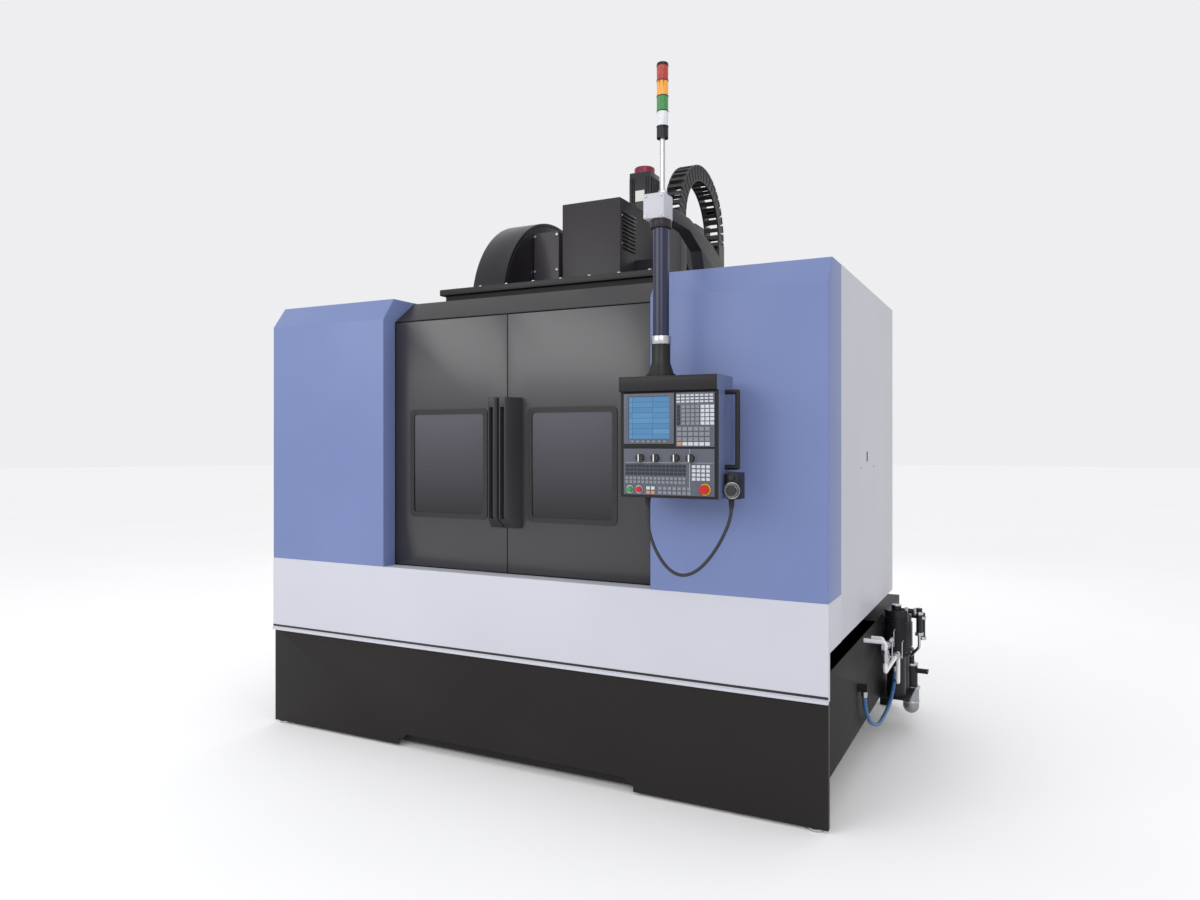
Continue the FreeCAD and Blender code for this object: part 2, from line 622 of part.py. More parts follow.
def magazine_cover():
    """Dark drum cover, open at the bottom where the tools leave it."""
    outer = rod(V(drum_left, drum_y, drum_z), X, drum_radius, drum_right - 20 - drum_left)
    inner = rod(V(drum_left + sheet, drum_y, drum_z), X, drum_radius - sheet, drum_right - drum_left)
    below = block(drum_left - 1, drum_right + 1, 0, depth + 100, drum_z - drum_radius - 1, drum_z - 437)
    slot = block(drum_left - 1, drum_right + 1, 1500, depth + 100, drum_z - 160, drum_z + 160)
    rim = ring(V(drum_right - 20, drum_y, drum_z), X, drum_radius, drum_radius - 20, 20)
    return fused([outer.cut(inner), rim]).cut(below).cut(slot)


def pot_shape(loaded):
    """A tool pot lying along X at the bottom of the circle, with its hinge lug, and the tool's flange."""
    z = drum_z - pot_circle
    back = drum_right - 40
    mouth = back - pot_length
    pot = ring(V(mouth, drum_y, z), X, pot_radius, 20, pot_length - 12)
    pot = pot.fuse(rod(V(back - 12, drum_y, z), X, pot_radius, 12))
    if not loaded:
        return [pot]
    flange = rod(V(mouth - 18, drum_y, z), X, 31.5, 18)
    cutter = rod(V(mouth - 70, drum_y, z), X, 10, 52)
    return [pot, flange.fuse(cutter)]


def tool_disc():
    """The disc, its hub, and all the pots but the one at the change position, every second one loaded."""
    face = drum_right - 40
    disc = ring(V(face, drum_y, drum_z), X, pot_circle + 45, 40 + running, 12)
    hub = ring(V(face - 60, drum_y, drum_z), X, 75, 40 + running, 60)
    z = drum_z - pot_circle
    ears = []
    for y in (drum_y - 46, drum_y + 40):
        ears.append(block(pot_pivot_x - 14, face + 12, y, y + 6, z - pot_pivot_out - 14, z + 20))
    disc = fused([disc, hub] + ears)
    pieces = [disc]
    for i in range(1, pot_count):
        for piece in pot_shape(i % 2 == 0):
            piece.rotate(V(0, drum_y, drum_z), X, 360.0 * i / pot_count)
            pieces.append(piece)
    return group(pieces)


def change_pot():
    """The pot at the change position, with the lug and pin on which it swings down."""
    z = drum_z - pot_circle
    pot = pot_shape(False)[0]
    pin_z = z - pot_pivot_out
    lug = block(pot_pivot_x - 12, pot_pivot_x + 12, drum_y - 12, drum_y + 12, pin_z, z - 30)
    eye = rod(V(pot_pivot_x, drum_y - 12, pin_z), Y, 12, 24)
    pin = rod(V(pot_pivot_x, drum_y - 40 + running, pin_z), Y, 7, 80 - 2 * running)
    return fused([pot, lug, eye, pin])


def cam_box():
    """Grey gearbox that lifts and turns the change arm, bolted to the magazine frame."""
    body = block(drum_right, -170, 850, 1250, 2010, 2890)
    return body.cut(rod(V(arm_x, arm_y, 2000), Z, 30 + running, 400))


def arm_shaft():
    return rod(V(arm_x, arm_y, arm_plane + arm_half_height), Z, 30, 400)


def change_arm():
    """Double-ended gripper arm, parked along Y below the spindle nose."""
    z = arm_plane
    hub = rod(V(arm_x, arm_y, z - 18), Z, 55, 18 + arm_half_height)
    beam = block(arm_x - 32, arm_x + 32, arm_y - arm_reach + 35, arm_y + arm_reach - 35,
                 z - arm_half_height, z + arm_half_height)
    jaws = []
    for side in (-1, 1):
        centre = V(arm_x, arm_y + side * arm_reach, z - 3.2)
        jaw = rod(centre, Z, 46, 6.4).cut(rod(centre, Z, 28, 6.4))
        mouth = block(arm_x - 60, arm_x, centre.y - 20, centre.y + 60, z - 5, z + 5)
        if side < 0:
            mouth = block(arm_x, arm_x + 60, centre.y - 60, centre.y + 20, z - 5, z + 5)
        jaws.append(jaw.cut(mouth))
    return fused([hub, beam] + jaws)


# ---------------------------------------------------------------- cabinet and coolant unit


def electrical_cabinet():
    """Sheet cabinet behind the enclosure, open towards its door, with a mounting plate and drives."""
    x0, x1 = cabinet_left, cabinet_right
    shell = block(x0, x1, cabinet_front, cabinet_rear, cabinet_bottom, cabinet_top)
    shell = shell.cut(block(x0 + sheet, cabinet_split, cabinet_front + sheet, cabinet_rear + 1,
                            cabinet_bottom + sheet, cabinet_top - sheet))
    shell = shell.cut(block(cabinet_split + sheet, x1 - sheet, cabinet_front + sheet, cabinet_rear - sheet,
                            cabinet_bottom + sheet, cabinet_top - sheet))
    stays = [block(x, x + 60, cabinet_front - 3, cabinet_front, 1000, 1100) for x in (x0 + 100, x1 - 160)]
    plate = block(x0 + 60, cabinet_split - 60, cabinet_front + sheet, cabinet_front + 9, 400, 2100)
    drives = [block(x0 + 110 + i * 130, x0 + 210 + i * 130, cabinet_front + 9, cabinet_front + 240,
                    1300, 1680)
              for i in range(4)]
    shell = fused([shell] + stays)
    return group([shell, plate] + drives)


def cabinet_door():
    """Folded cabinet door with its hinge barrels on the left edge and a fixed pull."""
    x0, x1 = cabinet_left + 1, cabinet_split - 4
    y0 = cabinet_rear + running
    tray = block(x0, x1, y0, y0 + 25, cabinet_bottom + 6, cabinet_top - 6)
    tray = tray.cut(block(x0 + sheet, x1 - sheet, y0 - 1, y0 + 22, cabinet_bottom + 9, cabinet_top - 9))
    pull = block(x1 - 60, x1 - 36, y0 + 25, y0 + 50, 1150, 1330)
    barrels = [rod(V(x0 - 4, y0 + 29, z), Z, 8, 90) for z in (450, 1150, 1900)]
    leaves = [block(x0 - 4, x0 + 40, y0 + 25, y0 + 28, z, z + 90) for z in (450, 1150, 1900)]
    return fused([tray, pull] + barrels + leaves)


def breaker_knob():
    """Main switch handle on the cabinet's fixed strip."""
    x, z = cabinet_split + 105, 1500.0
    disc = rod(V(x, cabinet_rear + running, z), Y, 42, 14)
    grip = block(x - 11, x + 11, cabinet_rear + 14, cabinet_rear + 44, z - 38, z + 38)
    return fused([disc, grip])


def coolant_tank():
    """Coolant tank on four legs under the right side, with a lid over its rear and the hose outlet."""
    x1 = half - 3
    shell = block(tank_left, x1, tank_front, tank_rear, tank_bottom, tank_top)
    shell = shell.cut(block(tank_left + 4, x1 - 4, tank_front + 4, tank_rear - 4, tank_bottom + 4,
                            tank_top + 1))
    legs = []
    for x in (tank_left + 40, x1 - 100):
        for y in (tank_front + 60, tank_rear - 120):
            legs.append(block(x, x + 60, y, y + 60, 0, tank_bottom))
    lid = block(tank_left, x1, 1180, tank_rear, tank_top, tank_top + 4)
    hose_end = V(*hose_route[0])
    outlet = block(x1, hose_end.x + 16, hose_end.y - 16, hose_end.y + 16, hose_end.z, hose_end.z + 34)
    return fused([shell] + legs + [lid, outlet])


def coolant_pumps():
    """Two vertical pumps and a filter bowl on a bracket at the tank's side, with valves and pipes."""
    x0 = half - 3
    bracket = block(x0, half + 150, 1340, 1700, tank_bottom - 8, tank_bottom)
    pieces = [bracket]
    for y, top in ((1420, 690), (1560, 640)):
        pieces.append(rod(V(half + 70, y, tank_bottom), Z, 50, 230))
        pieces.append(rod(V(half + 70, y, tank_bottom + 230), Z, 62, top - tank_bottom - 230))
        pieces.append(rod(V(half + 70, y, top), Z, 26, 30))
        pieces.append(rod(V(half + 70, y, top + 5), X, 14, 120))
        pieces.append(rod(V(half + 190, y, top - 110), Z, 16, 135))
    bowl = rod(V(half + 120, 1640, 110), Z, 44, tank_bottom - 118)
    dome = Part.makeSphere(44, V(half + 120, 1640, 112))
    pieces += [bowl, dome, rod(V(half + 120, 1640, tank_bottom), Z, 36, 120),
               rod(V(half + 120, 1640, tank_bottom + 120), Z, 18, 90),
               rod(V(half + 120, 1640, tank_bottom + 90), X, 14, 90),
               block(half + 205, half + 213, 1610, 1670, tank_bottom + 82, tank_bottom + 98)]
    hose_end = V(*hose_route[-1])
    pieces.append(block(hose_end.x - 16, hose_end.x + 16, hose_end.y - 16, 1400, hose_end.z, hose_end.z + 30))
    return fused(pieces)


def cord(points, radius, name):
    """A tube on straight runs joined by tangent arcs, each as large as its two runs allow."""
    corners = [V(*p) for p in points]
    edges, here, radii = [], corners[0], []
    for before, corner, after in zip(corners, corners[1:], corners[2:]):
        a, b = before.sub(corner), after.sub(corner)
        turn = math.pi - a.getAngle(b)
        reach = 0.45 * min(a.Length, b.Length)
        radii.append(reach / math.tan(turn / 2))
        start = corner.add(V(a).normalize().multiply(reach))
        end = corner.add(V(b).normalize().multiply(reach))
        to_middle = V(a).normalize().add(V(b).normalize()).normalize()
        bow = radii[-1] / math.cos(turn / 2) - radii[-1]
        edges.append(Part.LineSegment(here, start).toShape())
        edges.append(Part.Arc(start, corner.add(to_middle.multiply(bow)), end).toShape())
        here = end
    edges.append(Part.LineSegment(here, corners[-1]).toShape())
    length = sum(e.Length for e in edges)
    wire = Part.Wire(edges)
    first = corners[1].sub(corners[0])
    disc = Part.Wire(Part.makeCircle(radius, corners[0], first))
    tube = wire.makePipeShell([disc], True, True)
    print(name, "length", round(length, 1), "radii", [round(r) for r in radii],
          "volume share", round(tube.Volume / (math.pi * radius ** 2 * length), 4))
    return tube


# ---------------------------------------------------------------- pendant and stack light


def pendant_arm():
    """Roof bracket and beam, the end box that holds the tube, and the hanging tube itself."""
    end_box = block(871, 967, pivot_y - 50, pivot_y + 50, tube_top, 2689)
    beam = side_prism([(pivot_y + 50, 2600), (pivot_y + 50, 2658), (100, 2658), (409, 2597), (576, 2535),
                       (600, roof_height + 8), (300, roof_height + 8), (250, 2540), (100, 2600)], 892, 950)
    foot = block(850, 990, 280, 640, roof_height, roof_height + 8)
    tube = ring(V(pivot_x, pivot_y, tube_bottom), Z, tube_radius, tube_radius - 5, tube_top - tube_bottom)
    return group([fused([beam, foot]), end_box, tube])


def pendant_housing():
    """Operator panel housing with a visor, a swivel neck, a guard bar at its right and a cable gland."""
    visor_low = pendant_top - 62
    body = side_prism([(pendant_front + 14, pendant_bottom), (pendant_front + 14, visor_low - 4),
                       (pendant_front - 6, visor_low), (pendant_front - 6, pendant_top - 6),
                       (pendant_front, pendant_top), (pendant_rear, pendant_top),
                       (pendant_rear, pendant_bottom + 60), (pendant_rear - 50, pendant_bottom)],
                      pendant_left, pendant_right)
    neck = rod(V(pivot_x, pivot_y, pendant_top), Z, 62, 14)
    neck = neck.fuse(Part.makeCone(56, 40, 50, V(pivot_x, pivot_y, pendant_top + 14), Z))
    neck = neck.fuse(rod(V(pivot_x, pivot_y, pendant_top + 64), Z, 40,
                         tube_bottom - running - pendant_top - 64))
    gland = rod(V(872, pivot_y, pendant_bottom - 12), Z, 13, 12)
    bar = 10.0
    x0, x1 = pendant_right, pendant_right + 62
    guard = [rod(V(x0, pivot_y, pendant_top - 70), X, bar, 52),
             rod(V(x0, pivot_y, pendant_bottom + 130), X, bar, 52),
             rod(V(x1 - 10, pivot_y, pendant_bottom + 130), Z, bar, pendant_top - pendant_bottom - 200),
             Part.makeSphere(bar, V(x1 - 10, pivot_y, pendant_top - 70)),
             Part.makeSphere(bar, V(x1 - 10, pivot_y, pendant_bottom + 130))]
    return fused([body, neck, gland] + guard)


def pendant_panels():
    """Screen in its bezel, keypad plate and operator plate, set on the housing's face."""
    y = panel_face
    bezel = block(800, 1030, y - 6, y, 1624, 1836)
    bezel = bezel.cut(block(822, 1010, y - 7, y - 2, 1644, 1824))
    screen = block(822, 1010, y - 3, y - 2, 1644, 1824)
    keypad = block(1038, 1206, y - 6, y, 1612, 1836)
    operator = block(800, 1206, y - 6, y, 1410, 1604)
    holes = [rod(V(x, y - 7, z), Y, r + running, 8) for x, z, r in controls.values()]
    for hole in holes:
        operator = operator.cut(hole)
    return group([bezel, screen, keypad, operator])


def knob(name):
    """A fluted selector knob on a short shaft."""
    x, z, r = controls[name]
    shaft = rod(V(x, panel_face - 6, z), Y, r, 6 - key_gap)
    body = rod(V(x, panel_face - 26, z), Y, 17, 20 - key_gap)
    pointer = block(x - 3, x + 3, panel_face - 32, panel_face - 24, z - 15, z + 15)
    return fused([shaft, body, pointer])


def push_button(name, cap_radius, height):
    """A button whose cap stands clear of the plate by its travel."""
    x, z, r = controls[name]
    stem = rod(V(x, panel_face - 12, z), Y, r, 6.5)
    cap = rod(V(x, panel_face - 12 - height, z), Y, cap_radius, height)
    return fused([stem, cap])


def handwheel_unit():
    """Hand pulse generator box hung on the housing's right side by its bracket, with a cable gland."""
    body = block(pendant_right + 16, pendant_right + 66, -238, -150, 1398, 1506)
    bracket = block(pendant_right, pendant_right + 16, -215, -175, 1450, 1500)
    gland = rod(V(1244, -190, 1385), Z, 12, 13)
    return fused([body, bracket, gland])


def handwheel():
    """Pulse wheel with a crank knob on the unit's front."""
    y = -238 - running
    wheel = rod(V(wheel_x, y - 12, wheel_z - 14), Y, 30, 12)
    grip = rod(V(wheel_x + 19, y - 34, wheel_z - 14), Y, 6, 22)
    return fused([wheel, grip])


def axis_knob():
    y = -238 - running
    return fused([rod(V(wheel_x, y - 12, 1488), Y, 10, 12),
                  block(wheel_x - 2, wheel_x + 2, y - 16, y - 10, 1479, 1497)])


def stack_light():
    """Pole, dark base, four stacked lenses and a cap."""
    x, y, z = 940, pivot_y, 2689
    pole = rod(V(x, y, z), Z, 11, 242)
    base = rod(V(x, y, z + 242), Z, 25, 50)
    pieces = [pole, base]
    lens_height = 65.0
    for i in range(4):
        pieces.append(rod(V(x, y, z + 292 + i * lens_height), Z, 25, lens_height))
    cap = rod(V(x, y, z + 292 + 4 * lens_height), Z, 25, 14)
    return group(pieces + [cap.makeFillet(6, [cap.Edges[0]])])


# ---------------------------------------------------------------- assembly

stage_one, stage_two = stage_pair(1), stage_pair(2)
left_window = seam_x - window_offset - window_width
right_window = seam_x + window_offset

parts["base_casting"] = base_casting()
parts["levelling_feet"] = levelling_feet()
parts["way_rails"] = way_rails()
parts["column"] = column()
parts["servo_motors"] = servo_motors()
parts["inner_guards"] = inner_guards()
parts["front_apron"] = front_apron()
parts["lower_skirts"] = group([front_skirt(), left_skirt()])
parts["left_cover"] = front_cover(-half, opening_left, -1)
parts["right_cover"] = front_cover(opening_right, half, 1)
parts["side_and_rear_panels"] = side_and_rear_panels()
parts["header"] = header()
parts["roof"] = roof()
parts["left_door"] = door(opening_left - door_overlap, seam_x - door_gap / 2, left_window)
parts["right_door"] = door(seam_x + door_gap / 2, opening_right + door_overlap, right_window)
parts["left_window"] = window(left_window)
parts["right_window"] = window(right_window)
parts["left_handle"] = handle(seam_x, -1)
parts["right_handle"] = handle(seam_x, 1)
parts["saddle"] = saddle()
parts["saddle_fittings"] = saddle_fittings()
parts["way_cover_stage_1"] = group(stage_one)
parts["way_cover_stage_2"] = group(stage_two)
parts["table"] = table()
parts["x_screw"] = ball_screw(V(axis_x - saddle_width / 2, axis_y, x_screw_z), X, saddle_width - running)
parts["y_screw"] = ball_screw(V(axis_x, stage_end[0] + 20, y_screw_z), Y,
                              stage_end[1] - stage_end[0] - running)
parts["z_screw"] = ball_screw(V(axis_x, z_screw_y, z_rail_bottom - 45), Z,
                              column_top - z_rail_bottom + 45 - running)
parts["head_casting"] = head_casting()
parts["spindle_drive"] = spindle_drive()
parts["head_cover"] = head_cover()
parts["spindle"] = spindle()
parts["cable_carrier"] = cable_carrier()
parts["magazine_frame"] = magazine_frame()
parts["magazine_cover"] = magazine_cover()
parts["tool_disc"] = tool_disc()
parts["change_pot"] = change_pot()
parts["cam_box"] = cam_box()
parts["arm_shaft"] = arm_shaft()
parts["change_arm"] = change_arm()
parts["electrical_cabinet"] = electrical_cabinet()
parts["cabinet_door"] = cabinet_door()
parts["breaker_knob"] = breaker_knob()
parts["coolant_tank"] = coolant_tank()
parts["coolant_pumps"] = coolant_pumps()
parts["coolant_hose"] = cord(hose_route, hose_radius, "hose")
parts["pendant_arm"] = pendant_arm()
parts["pendant_housing"] = pendant_housing()
parts["pendant_panels"] = pendant_panels()
for control in ("mode_knob", "feed_knob", "rapid_knob", "spindle_knob"):
    parts[control] = knob(control)
parts["emergency_stop"] = push_button("emergency_stop", 19, 16)
parts["start_button"] = push_button("start_button", 12, 6)
parts["hold_button"] = push_button("hold_button", 12, 6)
parts["handwheel_unit"] = handwheel_unit()
parts["handwheel"] = handwheel()
parts["axis_knob"] = axis_knob()
parts["handwheel_cord"] = cord(cord_route, cord_radius, "cord")
parts["stack_light"] = stack_light()

# Cords hang free, so they don't count in the footprint.
free_cords = ("handwheel_cord", "coolant_hose")
footprint = FreeCAD.BoundBox()
for name, shape in parts.items():
    if name not in free_cords:
        footprint.add(shape.optimalBoundingBox())
shift = V(-footprint.Center.x, -footprint.Center.y, -footprint.ZMin)
print("shift", shift, "size", footprint.XLength, footprint.YLength, footprint.ZLength)
os.makedirs("parts", exist_ok=True)
for name, shape in parts.items():
    shape.translate(shift)
    shape.exportStep("parts/" + name + ".step")
print(len(parts), "nodes")
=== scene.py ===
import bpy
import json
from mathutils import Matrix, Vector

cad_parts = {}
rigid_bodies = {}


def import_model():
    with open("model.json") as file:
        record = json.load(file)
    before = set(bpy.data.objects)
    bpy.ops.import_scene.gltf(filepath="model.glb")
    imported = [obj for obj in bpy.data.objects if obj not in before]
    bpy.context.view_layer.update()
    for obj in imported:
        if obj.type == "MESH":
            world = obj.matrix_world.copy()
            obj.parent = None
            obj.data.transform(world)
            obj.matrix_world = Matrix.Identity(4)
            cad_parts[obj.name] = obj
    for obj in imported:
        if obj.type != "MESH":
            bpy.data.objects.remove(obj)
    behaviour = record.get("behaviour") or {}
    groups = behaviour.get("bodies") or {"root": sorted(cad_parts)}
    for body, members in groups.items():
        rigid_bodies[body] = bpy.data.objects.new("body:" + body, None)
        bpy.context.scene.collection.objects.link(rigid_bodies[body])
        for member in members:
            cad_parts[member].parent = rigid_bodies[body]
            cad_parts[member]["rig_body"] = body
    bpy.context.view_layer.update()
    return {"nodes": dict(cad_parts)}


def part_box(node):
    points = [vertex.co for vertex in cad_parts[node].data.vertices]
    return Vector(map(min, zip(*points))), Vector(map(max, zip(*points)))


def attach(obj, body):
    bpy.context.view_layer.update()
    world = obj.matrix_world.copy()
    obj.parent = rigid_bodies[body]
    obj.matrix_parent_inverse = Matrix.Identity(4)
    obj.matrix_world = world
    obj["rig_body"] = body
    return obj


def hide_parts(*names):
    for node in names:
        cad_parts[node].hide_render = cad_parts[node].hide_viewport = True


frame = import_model()

import json
import math

import bmesh
import bpy
from mathutils import Vector


# ------------------------ the enclosure's own origin and the camera
# Places are metres from the middle of the enclosure's front edge, at the floor: x to the operator's right,
# y towards the rear. A person of ordinary height stands at the machine's right front corner and looks at it.

middle = (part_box("left_cover")[0].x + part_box("right_cover")[1].x) / 2
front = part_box("left_cover")[0].y


def at(x, y, z):
    return Vector((middle + x, front + y, z))


bpy.ops.object.camera_add(location=at(2.3718, -3.6029, 1.6326),
                          rotation=(math.radians(90), 0, math.radians(26.98)))
camera = bpy.context.object
camera.data.sensor_width = 36.0
camera.data.lens = 25.79
camera.data.shift_y = -0.0068
bpy.context.scene.camera = camera


# ------------------------ the two hoses
# A black rubber lead hangs in a loop from the handwheel box back to the pendant, and a blue braided hose
# sags from the coolant tank's outlet to the filter. Both are crimped into their fittings at each end.

def linear(code):
    """An sRGB hex colour as linear light, with full opacity."""
    parts = [int(code[i:i + 2], 16) / 255 for i in (1, 3, 5)]
    return [p / 12.92 if p <= 0.04045 else ((p + 0.055) / 1.055) ** 2.4 for p in parts] + [1.0]


def add(tree, kind, settings):
    """Adds a shader node. A setting is a property, or an input with a constant or another node's output."""
    made = tree.nodes.new("ShaderNode" + kind)
    for key, value in settings.items():
        if isinstance(key, int) or key in made.inputs.keys():
            if isinstance(value, bpy.types.NodeSocket):
                tree.links.new(value, made.inputs[key])
            else:
                made.inputs[key].default_value = value
        else:
            setattr(made, key, value)
    return made


def empty_material(name):
    """A material with nothing in it but the object's own coordinates, in metres."""
    made = bpy.data.materials.new(name)
    made.use_nodes = True
    made.node_tree.nodes.clear()
    return made, made.node_tree, add(made.node_tree, "TexCoord", {}).outputs["Object"]


def mixed(tree, factor, first, second):
    """The output of a colour mix."""
    return add(tree, "Mix", {"data_type": "RGBA", 0: factor, 6: first, 7: second}).outputs[2]


def noise(tree, place, size, detail):
    """The output of a noise whose features have a size in metres."""
    return add(tree, "TexNoise", {"Vector": place, "Scale": 1 / size, "Detail": detail}).outputs[0]


def spread(tree, value, low, high):
    """The output of a value from 0 to 1 spread between two others."""
    return add(tree, "MapRange", {"Value": value, "To Min": low, "To Max": high}).outputs[0]


def bump(tree, height, strength, distance):
    """The output of a relief that is so many metres deep."""
    return add(tree, "Bump", {"Height": height, "Strength": strength, "Distance": distance}).outputs[0]


def surface(tree, settings):
    """Ends a material with its surface."""
    skin = add(tree, "BsdfPrincipled", settings)
    add(tree, "OutputMaterial", {"Surface": skin.outputs[0]})


# Extruded rubber, matte, with a fine bloom that breaks up its highlights.
cord_rubber, tree, place = empty_material("extruded black rubber")
bloom = noise(tree, place, 0.012, 3.0)
shade = mixed(tree, bloom, linear("#151516"), linear("#242427"))
relief = bump(tree, bloom, 0.25, 0.0004)
surface(tree, {"Base Color": shade, "Roughness": 0.5, "Normal": relief})

# Polyester braid over a hose: spiral threads about 6 mm apart, drawn coarse so that they show.
hose_braid, tree, place = empty_material("blue polyester braid")
threads = [add(tree, "TexWave", {"Vector": add(tree, "Mapping", {
    "Vector": place, "Rotation": (0.0, math.radians(35), turn)}).outputs[0],
    "Scale": 1 / 0.02, "Distortion": 0.6}).outputs["Fac"] for turn in (math.radians(45), math.radians(-45))]
weave = add(tree, "Math", {"operation": "MULTIPLY", 0: threads[0], 1: threads[1]}).outputs[0]
shade = mixed(tree, weave, linear("#244A78"), linear("#3F78B4"))
relief = bump(tree, weave, 0.5, 0.0008)
surface(tree, {"Base Color": shade, "Roughness": 0.42, "Normal": relief})


def hose(name, route, diameter, material):
    """A round hose along one smooth spline with the route as its control points."""
    line = bpy.data.curves.new(name, "CURVE")
    line.dimensions = "3D"
    line.bevel_depth = diameter / 2
    line.bevel_resolution = 6
    line.resolution_u = 12
    spline = line.splines.new("NURBS")
    spline.points.add(len(route) - 1)
    for point, corner in zip(spline.points, route):
        point.co = (*corner, 1.0)
    spline.order_u = 3
    spline.use_endpoint_u = True
    line.materials.append(material)
    piece = bpy.data.objects.new(name, line)
    bpy.context.scene.collection.objects.link(piece)
    return piece


lead_route = [at(1.244, -0.190, 1.385), at(1.244, -0.190, 1.330), at(1.222, -0.197, 1.262),
              at(1.186, -0.202, 1.192), at(1.140, -0.206, 1.128), at(1.088, -0.208, 1.082),
              at(1.030, -0.208, 1.064), at(0.974, -0.206, 1.084), at(0.926, -0.202, 1.136),
              at(0.890, -0.199, 1.202), at(0.872, -0.198, 1.268), at(0.872, -0.200, 1.330),
              at(0.872, -0.200, 1.386)]
lead = hose("handwheel_lead", lead_route, 0.014, cord_rubber)
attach(lead, "pendant")
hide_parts("handwheel_cord")

coolant_route = [at(1.622, 0.700, 0.420), at(1.622, 0.700, 0.366), at(1.628, 0.732, 0.298),
                 at(1.637, 0.786, 0.246), at(1.648, 0.862, 0.214), at(1.652, 0.950, 0.196),
                 at(1.650, 1.044, 0.188), at(1.654, 1.132, 0.198), at(1.660, 1.214, 0.218),
                 at(1.665, 1.278, 0.248), at(1.669, 1.328, 0.296), at(1.671, 1.352, 0.352),
                 at(1.671, 1.352, 0.400)]
coolant = hose("coolant_hose_braided", coolant_route, 0.020, hose_braid)
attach(coolant, "root")
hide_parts("coolant_hose")


# ------------------------ studio
# A pale seamless floor and surround. A broad sun from the front right lights the machine evenly, a softbox
# high at the front left puts a sheen on the upper doors, and weaker lamps stand overhead and behind.

studio_floor, tree, place = empty_material("pale studio floor")
mottle = noise(tree, place, 1.5, 2.0)
shade = mixed(tree, mottle, linear("#F4F4F4"), linear("#F8F8F8"))
surface(tree, {"Base Color": shade, "Roughness": 0.8})

bpy.ops.mesh.primitive_circle_add(vertices=96, radius=60, fill_type="NGON", location=(0, 0, -0.001))
floor = bpy.context.object
floor.name = "studio_floor"
floor.data.materials.append(studio_floor)

world = bpy.data.worlds.new("pale surround")
world.use_nodes = True
world.node_tree.nodes["Background"].inputs["Color"].default_value = linear("#F6F6F8")
world.node_tree.nodes["Background"].inputs["Strength"].default_value = 0.93
bpy.context.scene.world = world
bpy.context.scene.view_settings.view_transform = "Standard"


def studio_lamp(name, kind, place, aim, size, power):
    """A lamp at a place that points at another. Its size is in metres, or degrees for a sun."""
    bpy.ops.object.light_add(type=kind, location=place,
                             rotation=(aim - place).to_track_quat("-Z", "Y").to_euler())
    lamp = bpy.context.object.data
    bpy.context.object.name = name
    lamp.energy = power
    if kind == "SUN":
        lamp.angle = math.radians(size)
    else:
        lamp.size = size
    return lamp


machine_middle = at(0.2, 0.7, 1.2)
studio_lamp("key_sun", "SUN", at(3.6, -6.0, 4.4), machine_middle, 35, 0.9)
sheen = studio_lamp("sheen_softbox", "AREA", at(-3.4, -7.1, 4.6), at(0.0, 0.0, 2.1), 6.4, 210)
sheen.shape = "RECTANGLE"
sheen.size_y = 3.2
studio_lamp("overhead_lamp", "AREA", at(0.0, -0.5, 7.0), machine_middle, 5.0, 40)
studio_lamp("rear_lamp", "AREA", at(-1.5, 7.0, 4.5), machine_middle, 4.0, 60)


# ------------------------ blue front covers
# Two tall covers of folded 3 mm steel sheet either side of the doors, powder coated blue. They are screwed
# to the frame from inside, so nothing but their bends shows.

def coat(name, low_code, high_code, rough, grain=0.005, clear=0.1, shine=0.25):
    """Powder coat on steel: an even colour with a faint cloudiness, and orange peel that softens its gloss.
    clear is the weight of the clear lacquer over it, and shine how strongly the paint itself reflects."""
    made, tree, place = empty_material(name)
    cloud = noise(tree, place, 0.6, 2.0)
    peel = noise(tree, place, grain, 2.0)
    shade = mixed(tree, cloud, linear(low_code), linear(high_code))
    gloss = spread(tree, peel, rough - 0.06, rough + 0.08)
    relief = bump(tree, peel, 0.2, 0.0004)
    surface(tree, {"Base Color": shade, "Roughness": gloss, "Normal": relief,
                   "Specular IOR Level": shine, "Coat Weight": clear,
                   "Coat Roughness": 0.25})
    return made


def only(piece):
    """Leaves one object selected and active."""
    bpy.ops.object.select_all(action="DESELECT")
    bpy.context.view_layer.objects.active = piece
    piece.select_set(True)


sharp, smooth = math.radians(32), math.radians(30)


def refold(node, material, radius, thin=0.0045):
    """A copy of a CAD piece with a real radius on each bend and edge between faces wider than its sheet."""
    mesh = frame["nodes"][node].data.copy()
    piece = bpy.data.objects.new(node + "_finished", mesh)
    bpy.context.scene.collection.objects.link(piece)
    only(piece)
    bpy.ops.mesh.customdata_custom_splitnormals_clear()
    bpy.ops.object.mode_set(mode="EDIT")
    bpy.ops.mesh.select_all(action="SELECT")
    bpy.ops.mesh.remove_doubles(threshold=0.00002)
    bpy.ops.mesh.dissolve_limited(angle_limit=math.radians(0.5))
    bpy.ops.mesh.select_mode(type="EDGE")
    bpy.ops.mesh.select_all(action="DESELECT")
    net = bmesh.from_edit_mesh(mesh)
    for edge in net.edges:
        if len(edge.link_faces) == 2 and edge.calc_face_angle(0) > sharp:
            widths = [2 * face.calc_area() / face.calc_perimeter() for face in edge.link_faces]
            edge.select_set(min(widths) > thin and edge.calc_length() > 3 * radius)
    bmesh.update_edit_mesh(mesh)
    if any(edge.select for edge in net.edges):
        bpy.ops.mesh.bevel(offset=radius, segments=3, clamp_overlap=True, affect="EDGES")
    bpy.ops.object.mode_set(mode="OBJECT")
    mesh.materials.clear()
    mesh.materials.append(material)
    for face in mesh.polygons:
        face.material_index = 0
    bpy.ops.object.shade_smooth_by_angle(angle=smooth)
    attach(piece, frame["nodes"][node]["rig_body"])
    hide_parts(node)
    return piece


blue_coat = coat("blue powder coat", "#62709B", "#6D7BA6", 0.42)
for cover in ("left_cover", "right_cover"):
    refold(cover, blue_coat, 0.005)


